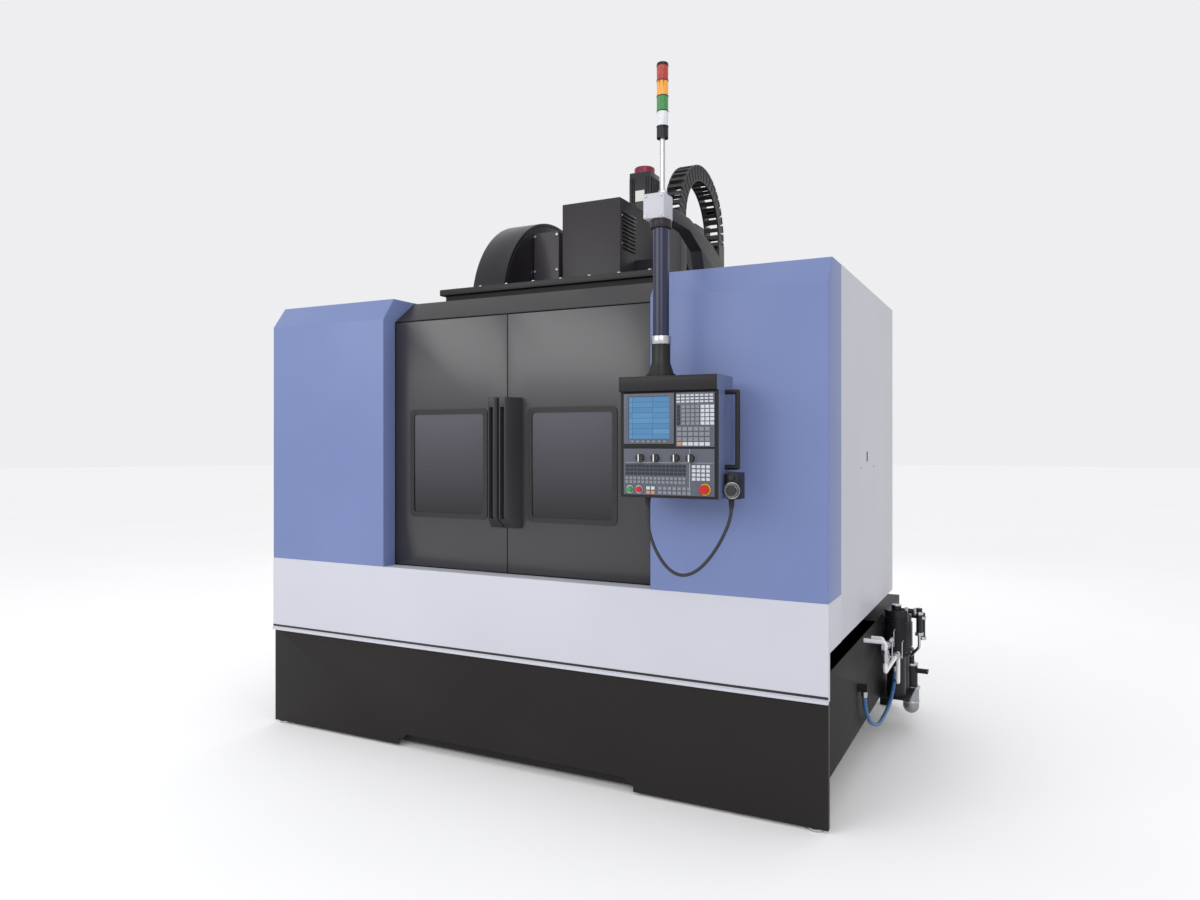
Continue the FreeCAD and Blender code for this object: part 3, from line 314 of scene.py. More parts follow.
# ------------------------ apron and skirts
# The white apron is one folded sheet with a drip lip. Below it the black skirt sheets hide the bed, with a
# toe recess in front and two capped drain fittings at the left.

white_coat = coat("white powder coat", "#B2B3BC", "#BABBC4", 0.45)
refold("front_apron", white_coat, 0.004)
skirt_coat = coat("black powder coat", "#1D1B1B", "#262322", 0.42, clear=0.0, shine=0.15)
refold("lower_skirts", skirt_coat, 0.003)


# ------------------------ side and rear panels
# Shallow folded trays in pale grey. Each side has a black rubber plug in its slot and two screw recesses.

side_coat = coat("pale grey powder coat", "#AEAEB6", "#B6B6BE", 0.46)
black_rubber, tree, place = empty_material("moulded black rubber")
bloom = noise(tree, place, 0.02, 3.0)
shade = mixed(tree, bloom, linear("#0F0F10"), linear("#1B1B1D"))
gloss = spread(tree, bloom, 0.5, 0.68)
surface(tree, {"Base Color": shade, "Roughness": gloss})


def within(low, high):
    """A test for the faces whose middle lies in a box."""
    return lambda c, n: all(a < b < d for a, b, d in zip(low, c, high))


def repaint(piece, material, test):
    """Gives the faces whose middle and normal pass a test another material."""
    piece.data.materials.append(material)
    for face in piece.data.polygons:
        if test(face.center, face.normal):
            face.material_index = len(piece.data.materials) - 1


panels = refold("side_and_rear_panels", side_coat, 0.004)
plug_low, plug_high = at(0, 0.8895, 1.532), at(0, 0.9125, 1.584)
repaint(panels, black_rubber,
        lambda c, n: plug_low.y < c.y < plug_high.y and plug_low.z < c.z < plug_high.z)


# ------------------------ header and roof
# A dark sloping sheet closes the front over the doors, and the dark roof has a raised coaming round the
# opening that the head and magazine stand in.

dark_coat = coat("dark grey powder coat", "#242123", "#2C292B", 0.4, shine=0.15)
refold("header", dark_coat, 0.003)
roof_coat = coat("black roof coat", "#181617", "#201E1F", 0.45)
refold("roof", roof_coat, 0.003)


# ------------------------ doors, windows and handles
# Folded dark trays that slide behind the covers, each with a smoked laminated pane in a black rubber
# gasket, and a tall moulded pull with a finger groove beside the seam.

door_coat = coat("dark door coat", "#262528", "#2E2D30", 0.3, clear=0.7)
pull_plastic = coat("moulded dark plastic", "#2C2B2F", "#353438", 0.4, grain=0.002)

# Smoked laminated glass with a hard gloss and the faintest ripple. Its colour is a painted reflection:
# lighter towards the top of the pane and darker downwards.
smoked_pane, tree, place = empty_material("smoked laminated glass")
ripple = noise(tree, place, 0.15, 1.0)
relief = bump(tree, ripple, 0.04, 0.0005)
height = add(tree, "SeparateXYZ", {"Vector": place}).outputs["Z"]
# Painted reflection: the colour runs from near black at the pane's foot to pale grey at its top.
painted_reflection_ramp = add(tree, "MapRange", {"Value": height, "From Min": 1.22, "From Max": 1.82}).outputs[0]
shade = mixed(tree, painted_reflection_ramp, linear("#0C0C0E"), linear("#5E5C66"))
surface(tree, {"Base Color": shade, "Roughness": 0.05, "IOR": 1.5,
               "Transmission Weight": 0.3, "Normal": relief})

for side in ("left", "right"):
    refold(side + "_door", door_coat, 0.003)
    refold(side + "_handle", pull_plastic, 0.004)
    window = refold(side + "_window", black_rubber, 0.0015)
    low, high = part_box(side + "_window")
    edge = 0.019
    repaint(window, smoked_pane, lambda c, n: low.x + edge < c.x < high.x - edge
            and low.z + edge < c.z < high.z - edge and low.y + 0.004 < c.y < high.y - 0.002
            and abs(n.y) > 0.9)


# ------------------------ bed, column and other castings
# Grey iron castings, sand cast and painted over the skin, with ground steel guide rails bolted on.

casting, tree, place = empty_material("painted grey iron")
sand = noise(tree, place, 0.008, 5.0)
blotch = noise(tree, place, 0.3, 3.0)
shade = mixed(tree, blotch, linear("#3F4143"), linear("#4B4D50"))
relief = bump(tree, sand, 0.45, 0.0012)
surface(tree, {"Base Color": shade, "Roughness": 0.55, "Normal": relief})

def metal(name, low_code, high_code, smooth, rough, size, detail, stretch=(1, 1, 1)):
    """Bare metal with a fine grain. The grain runs in lines where the stretch isn't the same on each axis."""
    made, tree, place = empty_material(name)
    along = add(tree, "Mapping", {"Vector": place, "Scale": stretch}).outputs[0]
    grain = noise(tree, along, size, detail)
    shade = mixed(tree, grain, linear(low_code), linear(high_code))
    surface(tree, {"Base Color": shade, "Metallic": 1.0, "Roughness": spread(tree, grain, smooth, rough)})
    return made


# Ground steel is bright, with fine lines. Stainless sheet has long streaks and a broad soft reflection.
ground_steel = metal("ground steel", "#A9ABB0", "#C9CBCF", 0.18, 0.34, 0.05, 4.0, (1, 30, 30))
stainless = metal("brushed stainless sheet", "#8C8F94", "#A7AAAE", 0.26, 0.42, 0.12, 5.0, (1, 1, 40))


def dress(node, material):
    """Gives a CAD piece whose shape is right its finish."""
    piece = frame["nodes"][node]
    if not piece.material_slots:
        piece.data.materials.append(material)
    for holder in piece.material_slots:
        holder.material = material
    return piece


for node in ("base_casting", "column", "saddle", "head_casting"):
    refold(node, casting, 0.006)
for node in ("levelling_feet", "way_rails", "spindle", "arm_shaft", "change_arm"):
    dress(node, ground_steel)
for node in ("inner_guards", "saddle_fittings", "way_cover_stage_1", "way_cover_stage_2"):
    refold(node, stainless, 0.002)

table = refold("table", casting, 0.002)
table_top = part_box("table")[1].z
repaint(table, ground_steel, lambda c, n: c.z > table_top - 0.045)


# ------------------------ ball screws
# Rolled steel screws of 30 mm, with a round groove at a 16 mm lead, under the table, saddle and head.

def screw_steel(axis):
    """Ball screw steel with bands across the screw's axis for its thread, painted darker in the thread's
    hollows as shade.
    """
    made, tree, place = empty_material("ball screw steel along " + axis)
    groove_and_shade = add(tree, "TexWave", {"Vector": place, "bands_direction": axis,
                                   "Scale": math.pi / 10 / 0.016}).outputs["Fac"]
    # Painted shade: the colour is dark in the thread's hollow and bright on its crest.
    shade = mixed(tree, groove_and_shade, linear("#5E6166"), linear("#C2C5CA"))
    relief = bump(tree, groove_and_shade, 0.9, 0.003)
    surface(tree, {"Base Color": shade, "Metallic": 1.0, "Roughness": 0.22,
                   "Normal": relief})
    return made


for axis in "XYZ":
    dress(axis.lower() + "_screw", screw_steel(axis))


# ------------------------ mouldings and screws on the sheets
# A thin black strip of painted shadow marks the gap above the white drip moulding that runs along the apron's
# foot. Cap screws
# with hexagon sockets hold the sheets: zinc plated ones at the rear and on the roof coaming, black ones in
# the side panels.

zinc = metal("zinc plated steel", "#A6A8AC", "#C6C7CB", 0.24, 0.42, 0.01, 3.0)
X, Y, Z = Vector((1, 0, 0)), Vector((0, 1, 0)), Vector((0, 0, 1))


def applied(piece):
    """Puts a piece's place, turn and size into its mesh, so that its object sits at the origin."""
    only(piece)
    bpy.ops.object.transform_apply(location=True, rotation=True, scale=True)
    return piece


def block(name, low, high):
    """A box primitive between two corners."""
    bpy.ops.object.select_all(action="DESELECT")
    bpy.ops.mesh.primitive_cube_add(size=1, location=(low + high) / 2)
    piece = bpy.context.object
    piece.name = name
    piece.scale = high - low
    return applied(piece)


def bar(name, start, end, radius, sides=32):
    """A cylinder primitive from one point to another."""
    run = end - start
    bpy.ops.object.select_all(action="DESELECT")
    bpy.ops.mesh.primitive_cylinder_add(vertices=sides, radius=radius, depth=run.length,
                                        location=(start + end) / 2,
                                        rotation=run.to_track_quat("Z", "Y").to_euler())
    piece = bpy.context.object
    piece.name = name
    return applied(piece)


def pick(piece, test):
    """Goes into edit mode with only those faces selected whose middle and normal pass a test."""
    only(piece)
    bpy.ops.object.mode_set(mode="EDIT")
    bpy.ops.mesh.select_mode(type="FACE")
    bpy.ops.mesh.select_all(action="DESELECT")
    net = bmesh.from_edit_mesh(piece.data)
    for face in net.faces:
        face.select_set(test(face.calc_center_median(), face.normal))
    bmesh.update_edit_mesh(piece.data)


def push(piece, test, move, inset=0.0):
    """Insets the chosen faces, then extrudes them by a move, if there is one."""
    pick(piece, test)
    if inset:
        bpy.ops.mesh.inset(thickness=inset)
    if any(move):
        bpy.ops.mesh.extrude_region_move(TRANSFORM_OT_translate={"value": move})
    bpy.ops.object.mode_set(mode="OBJECT")


def facing(*way):
    """A test for the faces that look one way."""
    return lambda c, n: n.dot(Vector(way)) > squarely


def rim(piece, axis, inset):
    """Insets the end faces across an axis."""
    push(piece, lambda c, n: abs(n.dot(axis)) > squarely, (0, 0, 0), inset)


squarely = 0.9      # the least cosine between a face's normal and the way it is said to look
rightwards, leftwards = facing(1, 0, 0), facing(-1, 0, 0)
backwards, forwards = facing(0, 1, 0), facing(0, -1, 0)
upwards, downwards = facing(0, 0, 1), facing(0, 0, -1)


def finish(piece, body, material, bevel=0.0, segments=2):
    """Rounds a piece's edges, gives it its material and slot, and fixes it to its body."""
    only(piece)
    if bevel:
        rounding = piece.modifiers.new("rounded edges", "BEVEL")
        rounding.width = bevel
        rounding.segments = segments
        rounding.limit_method = "ANGLE"
        rounding.angle_limit = sharp
        bpy.ops.object.modifier_apply(modifier=rounding.name)
    piece.data.materials.clear()
    piece.data.materials.append(material)
    bpy.ops.object.shade_smooth_by_angle(angle=sharp)
    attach(piece, body)
    return piece


def gather(name, group):
    """Joins pieces that are one sub-part into one object."""
    only(group[0])
    for piece in group:
        piece.select_set(True)
    bpy.ops.object.join()
    bpy.context.object.name = name
    return bpy.context.object


def repeat(name, pattern, moves):
    """Copies a piece to each move, each with its own mesh, and joins them. The pattern itself is removed."""
    copies = []
    for move in moves:
        copy = bpy.data.objects.new(name, pattern.data.copy())
        bpy.context.scene.collection.objects.link(copy)
        copy.location = move
        copies.append(applied(copy))
    bpy.data.objects.remove(pattern)
    return gather(name, copies)


def cap_screws(name, places, way, radius, body="root", material=zinc):
    """Cap screws with hexagon sockets, their heads pointing one way."""
    screw = bar(name, Vector((0, 0, 0)), way * radius * 0.9, radius, 18)
    top = way * radius * 0.9
    push(screw, lambda c, n: (c - top).length < 1e-5, way * -radius * 0.5, inset=radius * 0.45)
    finish(repeat(name, screw, places), body, material, radius * 0.12)


# Painted shadow: a thin black strip stands for the shadow gap between the apron and its drip moulding.
shadow_strip = block("apron_shadow_strip", at(-1.599, -0.0012, 0.562), at(1.599, 0.002, 0.573))
push(shadow_strip, forwards, (0, 0.0004, 0), inset=0.002)
finish(shadow_strip, "root", black_rubber, 0.0004)
moulding = block("drip_moulding", at(-1.599, -0.0065, 0.542), at(1.599, 0.0115, 0.5555))
push(moulding, forwards, (0, -0.001, -0.002), inset=0.002)
finish(moulding, "root", white_coat, 0.0015)

rear_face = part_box("side_and_rear_panels")[1].y - front
sheet_columns = (-1.52, -1.12, -0.72, -0.30, 0.66, 1.08, 1.52)
rear_screws = [at(x, rear_face, z) for x in sheet_columns for z in (0.80, 1.15, 1.55, 1.95, 2.36)
               if not -1.56 < x < -0.60 or z > 2.30]
cap_screws("rear_sheet_screws", rear_screws, Y, 0.009)
side_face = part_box("side_and_rear_panels")[1].x - middle - 0.002
for side, way in (("right", 1), ("left", -1)):
    places = [at(way * (side_face - 0.006), y, 1.503) for y in (0.740, 1.095)]
    cap_screws(side + "_panel_screws", places, Vector((way, 0, 0)), 0.0065, material=black_rubber)

coaming_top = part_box("roof")[1].z
slab_left, slab_right, slab_front = at(-0.720, 0, 0).x, at(0.680, 0, 0).x, at(0, 0.420, 0).y
slab_edge, across = 0.035, 8
coaming_screws = [Vector((slab_left + (slab_right - slab_left) * (i + 0.5) / across, slab_front + slab_edge,
                          coaming_top)) for i in range(across)]
for x in (slab_left + slab_edge, slab_right - slab_edge):
    coaming_screws += [Vector((x, slab_front + 0.20 + 0.24 * i, coaming_top)) for i in range(5)]
cap_screws("coaming_screws", coaming_screws, Z, 0.010)


# ------------------------ motors
# Black servo motors. The tall one on the column has cooling fins, a dark red encoder cap, a plain pale
# label and a plug on its side.

motor_coat = coat("black motor paint", "#1E1D20", "#262528", 0.34)
cap_coat = coat("dark red encoder cap", "#6E1430", "#7A1A38", 0.3, grain=0.002)
label_stock = coat("plain pale label", "#CFCFCB", "#D8D8D4", 0.55, grain=0.002)
motors = refold("servo_motors", motor_coat, 0.004)
cap_start = at(0, 0, 3.378).z
repaint(motors, cap_coat, lambda c, n: c.z > cap_start)

motor_x, motor_y = 0.077, 1.550
fin_reach, fin_pitch = 0.0785, 0.0145
fins = []
for way_x, way_y in ((1, 0), (-1, 0), (0, 1), (0, -1)):
    for step in range(-4, 5):
        if (way_x, way_y) == (0, -1) and abs(step) < 3:
            continue
        mid = at(motor_x + way_x * fin_reach + way_y * step * fin_pitch,
                 motor_y + way_y * fin_reach + way_x * step * fin_pitch, 3.215)
        size = Vector((0.008 if way_x else 0.004, 0.008 if way_y else 0.004, 0.26))
        fins.append(block("fin", mid - size / 2, mid + size / 2))
finish(gather("z_motor_fins", fins), "root", motor_coat, 0.0008)

label = block("z_motor_label", at(0.045, 1.473, 3.19), at(0.109, 1.4751, 3.26))
push(label, forwards, (0, 0.0004, 0), inset=0.003)
finish(label, "root", label_stock)
plug = block("z_motor_plug", at(0.152, 1.52, 3.09), at(0.186, 1.58, 3.15))
push(plug, downwards, (0, 0, -0.02), inset=0.008)
finish(plug, "root", motor_coat, 0.003)
flange_screws = [at(motor_x + x, motor_y + y, 3.050) for x in (-0.086, 0.086) for y in (-0.062, 0.062)]
cap_screws("z_motor_screws", flange_screws, Z, 0.007)

drive = refold("spindle_drive", motor_coat, 0.004)
head_top = at(0, 0, 2.379).z
repaint(drive, ground_steel, lambda c, n: c.z < head_top)


# ------------------------ head cover
# A tall dark sheet cover, plain in front, with a screwed flange and slanting louvres on its right side.

cover_coat = coat("black sheet coat", "#262326", "#2E2B2E", 0.34, shine=0.2)
refold("head_cover", cover_coat, 0.004)

places = [at(0.268, 0.802, z) for z in (2.08, 2.24, 2.40, 2.56, 2.76, 2.92)]
cap_screws("cover_side_screws", places, X, 0.005, "spindle_head")

louvre = block("louvre", Vector((0, -0.085, -0.006)), Vector((0.002, 0.085, 0.006)))
push(louvre, rightwards, (0.006, 0, -0.004))
moves = [at(0.268, 0.90, 2.745 + 0.022 * i) for i in range(10)]
finish(repeat("head_louvres", louvre, moves), "spindle_head", cover_coat, 0.001)


# ------------------------ cable carrier
# Black moulded links, modelled once and set along the two legs and round the standing bend, with the
# cables and hoses that they guard.

link_plastic = coat("moulded link plastic", "#1B1B1D", "#27272A", 0.42, grain=0.002)
carrier_low, carrier_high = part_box("cable_carrier")
carrier_x = (carrier_low.x + carrier_high.x) / 2
link_half = 0.0475
bend_radius = (carrier_high.y - carrier_low.y) / 2 - link_half
bend_y, bend_z = (carrier_low.y + carrier_high.y) / 2, carrier_high.z - bend_radius - link_half
link_pitch, bend_links = 0.05, 21


def carrier_link(centre, turn):
    """One link, which lies along Z before its turn about X: two recessed side plates and two crossbars."""
    plates = []
    for side in (-1, 1):
        plate = block("plate", Vector((side * 0.05 - 0.010 * (side > 0), -link_half, -0.0235)),
                      Vector((side * 0.05 + 0.010 * (side < 0), link_half, 0.0235)))
        push(plate, lambda c, n: n.x * side > 0.9, Vector((-side * 0.003, 0, 0)), inset=0.010)
        plates.append(plate)
    for side in (-1, 1):
        bridge = block("bridge", Vector((-0.042, side * 0.044 - 0.0035, -0.012)),
                       Vector((0.042, side * 0.044 + 0.0035, 0.012)))
        push(bridge, lambda c, n: n.y * side > 0.9, Vector((0, -side * 0.0015, 0)), inset=0.004)
        plates.append(bridge)
    piece = gather("link", plates)
    piece.rotation_euler = (turn, 0, 0)
    piece.location = centre
    return applied(piece)


links = []
for leg_y, count in ((bend_y - bend_radius, 12), (bend_y + bend_radius, 8)):
    for i in range(count):
        leg_z = bend_z - link_pitch / 2 - link_pitch * i
        links.append(carrier_link(Vector((carrier_x, leg_y, leg_z)), 0))
for i in range(bend_links):
    angle = math.pi * (i + 0.5) / bend_links
    links.append(carrier_link(Vector((carrier_x, bend_y - bend_radius * math.cos(angle),
                                      bend_z + bend_radius * math.sin(angle))), -angle))
chain = finish(gather("carrier_links", links), "cable_carrier", link_plastic, 0.0015, 1)
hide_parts("cable_carrier")

front_leg, rear_leg = 0.59, 0.40
cables = []
for across, inward, radius in ((-0.028, 0.010, 0.009), (-0.004, -0.012, 0.011), (0.022, 0.008, 0.010)):
    bpy.ops.object.select_all(action="DESELECT")
    bpy.ops.mesh.primitive_circle_add(vertices=16, radius=radius, location=(
        carrier_x + across, bend_y - bend_radius + inward, bend_z - front_leg))
    cable = applied(bpy.context.object)
    bpy.ops.object.mode_set(mode="EDIT")
    bpy.ops.mesh.select_all(action="SELECT")
    bpy.ops.mesh.extrude_region_move(TRANSFORM_OT_translate={"value": (0, 0, front_leg)})
    bpy.ops.mesh.spin(steps=36, angle=math.pi, center=(carrier_x, bend_y, bend_z), axis=(-1, 0, 0))
    bpy.ops.mesh.extrude_region_move(TRANSFORM_OT_translate={"value": (0, 0, -rear_leg)})
    bpy.ops.mesh.select_all(action="SELECT")
    bpy.ops.mesh.remove_doubles(threshold=0.00001)
    bpy.ops.mesh.fill_holes(sides=0)
    bpy.ops.mesh.normals_make_consistent(inside=False)
    bpy.ops.object.mode_set(mode="OBJECT")
    cables.append(cable)
finish(gather("carrier_cables", cables), "cable_carrier", cord_rubber)


# ------------------------ tool magazine
# A dark drum cover with a screwed rim and a round inspection lid, over the tool disc with its plastic
# pots, and the grey cam box with an oil sight glass.

drum_coat = coat("near black drum coat", "#161417", "#1F1C20", 0.3)
for node in ("magazine_cover", "magazine_frame"):
    refold(node, drum_coat, 0.003)
drum = at(-0.560, 1.110, 2.397)
lid = bar("magazine_lid", drum, drum + Vector((-0.006, 0, 0)), 0.23, 96)
push(lid, leftwards, (-0.004, 0, 0), inset=0.03)
finish(lid, "root", drum_coat, 0.002)
places = [drum + Vector((0, 0.575 * math.cos(a), 0.575 * math.sin(a)))
          for a in [math.radians(15 * i) for i in range(-2, 15)]]
cap_screws("drum_screws", places, Vector((-1, 0, 0)), 0.007)
places = [drum + Vector((-0.006, 0.215 * math.cos(a), 0.215 * math.sin(a)))
          for a in [math.radians(45 * i + 20) for i in range(8)]]
cap_screws("lid_screws", places, Vector((-1, 0, 0)), 0.006)

black_oxide = coat("black oxide steel", "#222326", "#2E2F33", 0.3, grain=0.003)
dress("tool_disc", black_oxide)
dress("change_pot", black_oxide)
box_coat = coat("grey hammered paint", "#343136", "#3C393E", 0.36, grain=0.008)
refold("cam_box", box_coat, 0.006)
amber_glass = coat("amber sight glass", "#B06A1C", "#C98128", 0.08, grain=0.004)
glass = bar("sight_glass", at(-0.258, 0.850, 2.30), at(-0.258, 0.843, 2.30), 0.022)
push(glass, forwards, (0, 0.003, 0), inset=0.007)
finish(glass, "root", zinc, 0.001)
pane = bar("sight_pane", at(-0.258, 0.850, 2.30), at(-0.258, 0.8445, 2.30), 0.014)
push(pane, forwards, (0, -0.0006, 0), inset=0.003)
finish(pane, "root", amber_glass)
places = [at(x, 0.850, z) for x in (-0.333, -0.182) for z in (2.03, 2.24, 2.45, 2.66, 2.87)]
cap_screws("cam_box_screws", places, Vector((0, -1, 0)), 0.008)


# ------------------------ electrical cabinet
# A pale cabinet with a cooling unit and a louvred grille on its door, a cable duct over the roof, and a
# red main switch on a yellow plate. Inside are the drives on their mounting plate.

cabinet = refold("electrical_cabinet", side_coat, 0.003)
drive_low, drive_high = at(-1.54, 1.7725, 1.29), at(-0.85, 2.01, 1.69)
repaint(cabinet, motor_coat, within(drive_low, drive_high))
refold("cabinet_door", side_coat, 0.003)
door_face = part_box("electrical_cabinet")[1].y - front + 0.0253

cooler = block("door_cooler", at(-1.42, door_face, 1.60), at(-1.10, door_face + 0.055, 2.14))
push(cooler, backwards, (0, -0.006, 0), inset=0.018)
finish(cooler, "cabinet_door", side_coat, 0.004)
slat = block("slat", Vector((-0.125, 0, -0.007)), Vector((0.125, 0.002, 0.007)))
push(slat, backwards, (0, 0.008, -0.005))
moves = [at(-1.26, door_face + 0.049, 1.66 + 0.024 * i) for i in range(18)]
finish(repeat("cooler_slats", slat, moves), "cabinet_door", motor_coat, 0.001)
slat = block("slat", Vector((-0.10, 0, -0.006)), Vector((0.10, 0.002, 0.006)))
push(slat, backwards, (0, 0.007, -0.004))
moves = [at(-1.26, door_face, 0.50 + 0.022 * i) for i in range(12)]
finish(repeat("door_slats", slat, moves), "cabinet_door", side_coat, 0.001)

yellow_plate = coat("yellow switch plate", "#C9A414", "#D4AF1E", 0.4, grain=0.003)
red_plastic = coat("moulded red plastic", "#A31818", "#B32020", 0.32, grain=0.002)
plate = block("breaker_plate", at(-0.812, 2.2142, 1.43), at(-0.678, 2.2162, 1.57))
push(plate, backwards, (0, -0.0006, 0), inset=0.006)
finish(plate, "root", yellow_plate, 0.0006)
refold("breaker_knob", red_plastic, 0.003)
duct = block("cable_duct", at(-0.79, 1.99, 2.25), at(-0.70, 2.10, 2.50))
push(duct, upwards, (0, 0, -0.003), inset=0.008)
roof_duct = block("roof_duct", at(-0.79, 1.62, 2.419), at(-0.70, 2.00, 2.50))
push(roof_duct, forwards, (0, -0.03, -0.02), inset=0.006)
finish(gather("cable_duct", [duct, roof_duct]), "root", link_plastic, 0.003)


# ------------------------ coolant unit
# A black coolant tank under the right side. Beside it stand two finned pumps with bright fittings, a
# filter, ball valves, and white steel pipes that run along the machine's side.

refold("coolant_tank", coat("black tank coat", "#0B0B0C", "#121213", 0.55, clear=0.0,
                            shine=0.15), 0.003)
pump_coat = coat("dark pump paint", "#131417", "#1C1D21", 0.4)
pumps = refold("coolant_pumps", pump_coat, 0.003)
bowl_low, bowl_high = at(1.674, 1.594, 0.06), at(1.767, 1.686, 0.216)
repaint(pumps, stainless, within(bowl_low, bowl_high))
pipe_coat = coat("white pipe paint", "#D8D8DC", "#E2E2E5", 0.35)

pump_x, pump_places = 1.670, ((1.420, 0.690), (1.560, 0.640))
ribs = []
for y, top in pump_places:
    z = 0.475
    while z < top - 0.03:
        rib = bar("rib", at(pump_x, y, z), at(pump_x, y, z + 0.004), 0.069, 40)
        rim(rib, Z, 0.004)
        ribs.append(rib)
        z += 0.014
    for low, high, radius in ((0.448, 0.458, 0.074), (top - 0.004, top + 0.008, 0.064)):
        rib = bar("rib", at(pump_x, y, low), at(pump_x, y, high), radius, 40)
        rim(rib, Z, 0.006)
        ribs.append(rib)
finish(gather("pump_fins", ribs), "root", pump_coat, 0.0008, 1)

fittings = []
for y, top in pump_places:
    for start, end, radius in ((at(pump_x, y, top + 0.030), at(pump_x, y, top + 0.036), 0.030),
                               (at(1.715, y, top + 0.005), at(1.733, y, top + 0.005), 0.021),
                               (at(1.762, y, top + 0.005), at(1.776, y, top + 0.005), 0.021),
                               (at(1.790, y, top - 0.125), at(1.790, y, top - 0.108), 0.024),
                               (at(1.790, y, top - 0.010), at(1.790, y, top + 0.006), 0.023)):
        nut = bar("nut", start, end, radius, 6)
        rim(nut, (end - start).normalized(), radius * 0.16)
        fittings.append(nut)
finish(gather("pipe_nuts", fittings), "root", zinc, 0.0015)


def pipe(name, corners, radius, material, bend=0.03):
    """A bent steel pipe through its corners, with a radius at each."""
    route = [corners[0]]
    for before, corner, after in zip(corners, corners[1:], corners[2:]):
        for reach in (bend * 1.6, bend):
            route.append(corner + (before - corner).normalized() * reach)
        route.append(corner)
        for reach in (bend, bend * 1.6):
            route.append(corner + (after - corner).normalized() * reach)
    route.append(corners[-1])
    piece = hose(name, route, radius * 2, material)
    piece.data.use_fill_caps = True
    only(piece)
    bpy.ops.object.convert(target="MESH")
    finish(piece, "root", material)


pipe("side_pipe", [at(1.596, 0.830, 0.640), at(1.700, 0.830, 0.640), at(1.700, 0.830, 0.493),
                   at(1.700, 1.264, 0.493), at(1.700, 1.264, 0.333), at(1.670, 1.372, 0.333)],
     0.011, pipe_coat)
pipe("upper_pipe", [at(1.596, 1.050, 0.610), at(1.655, 1.050, 0.610), at(1.655, 1.050, 0.545),
                    at(1.655, 1.330, 0.545), at(1.655, 1.366, 0.545)], 0.009, pipe_coat)
pipe("return_pipe", [at(1.790, 1.420, 0.590), at(1.790, 1.420, 0.500), at(1.735, 1.500, 0.430),
                     at(1.720, 1.600, 0.430), at(1.720, 1.612, 0.430)], 0.008, zinc)


def ball_valve(name, centre, way):
    """A ball valve on a pipe: hexagon ends, a round body and a flat cranked lever."""
    parts = [bar("end", centre - way * 0.032, centre - way * 0.016, 0.018, 6),
             bar("end", centre + way * 0.016, centre + way * 0.032, 0.018, 6),
             bar("body", centre - way * 0.018, centre + way * 0.018, 0.020, 24),
             bar("stem", centre, centre + Vector((0.034, 0, 0)), 0.006, 16)]
    for part, along in zip(parts, (way, way, way, X)):
        rim(part, along, 0.0015)
    finish(gather(name, parts), "root", zinc, 0.0008, 1)
    lever = block(name + "_lever", centre + Vector((0.030, -0.008, -0.008)),
                  centre + Vector((0.034, 0.008, 0.075)))
    push(lever, upwards, (0.006, 0, 0.012))
    finish(lever, "root", zinc, 0.0015)


ball_valve("side_valve", at(1.700, 0.830, 0.570), Z)
ball_valve("long_valve", at(1.700, 1.180, 0.493), Y)
ball_valve("upper_valve", at(1.655, 1.200, 0.545), Y)

for z, radius in ((0.214, 0.050), (0.132, 0.0465), (0.346, 0.040)):
    band = bar("filter_band", at(1.720, 1.640, z), at(1.720, 1.640, z + 0.012), radius, 48)
    rim(band, Z, 0.004)
    finish(band, "root", zinc, 0.0015)


# ------------------------ pendant arm
# A dark bracket on the roof holds a pale end box, from which a painted tube hangs down to the pendant.

tube_paint = coat("blue grey tube paint", "#22253A", "#2B2F47", 0.16)
arm = refold("pendant_arm", dark_coat, 0.004)
tube_low, tube_high = at(0.896, -0.237, 2.04), at(0.970, -0.163, 2.582)
repaint(arm, tube_paint, within(tube_low, tube_high))
box_low, box_high = at(0.870, -0.251, 2.582), at(0.968, -0.149, 2.690)
repaint(arm, side_coat, within(box_low, box_high))

for name, z, radius, paint in (("tube_collar", 2.545, 0.046, dark_coat), ("tube_foot", 2.049, 0.043, zinc)):
    collar = bar(name, at(0.933, -0.200, z), at(0.933, -0.200, z + 0.036), radius, 64)
    rim(collar, Z, 0.006)
    finish(collar, "root", paint, 0.003)
places = [at(x, -0.250, z) for x in (0.883, 0.955) for z in (2.595, 2.677)]
cap_screws("end_box_screws", places, Vector((0, -1, 0)), 0.005)
places = [at(x, y, 2.426) for x in (0.868, 0.972) for y in (0.30, 0.62)]
cap_screws("bracket_screws", places, Z, 0.010)


# ------------------------ stack light
# Red, amber and green lenses over a clear one, ribbed inside, on a thin pole. Each has a faint painted glow.

def lens(name, low_code, high_code):
    """A ribbed coloured lens: rings across its axis in the relief, and a faint painted glow of its own."""
    made, tree, place = empty_material(name)
    flutes = add(tree, "TexWave", {"Vector": place, "bands_direction": "Z",
                                   "Scale": math.pi / 10 / 0.004}).outputs["Fac"]
    shade = mixed(tree, flutes, linear(low_code), linear(high_code))
    relief = bump(tree, flutes, 0.4, 0.001)
    # Painted glow: the lens gives off a little light in its own colour.
    surface(tree, {"Base Color": shade, "Roughness": 0.16, "Normal": relief,
                   "Emission Color": shade, "Emission Strength": 0.12})
    return made


black_plastic = coat("moulded black plastic", "#121113", "#1A191B", 0.42, grain=0.002)
light = refold("stack_light", black_plastic, 0.0015)
first_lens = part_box("stack_light")[0].z + 0.292
repaint(light, zinc, lambda c, n: c.z < first_lens - 0.0501)
for i, made in enumerate((lens("clear lens", "#B9BCC0", "#CDD0D4"), lens("green lens", "#2C6A38", "#3E8448"),
                          lens("amber lens", "#C9842C", "#E2A048"), lens("red lens", "#8E2A20", "#A83A2C"))):
    low = first_lens + 0.065 * i
    repaint(light, made, lambda c, n: low < c.z < low + 0.065)

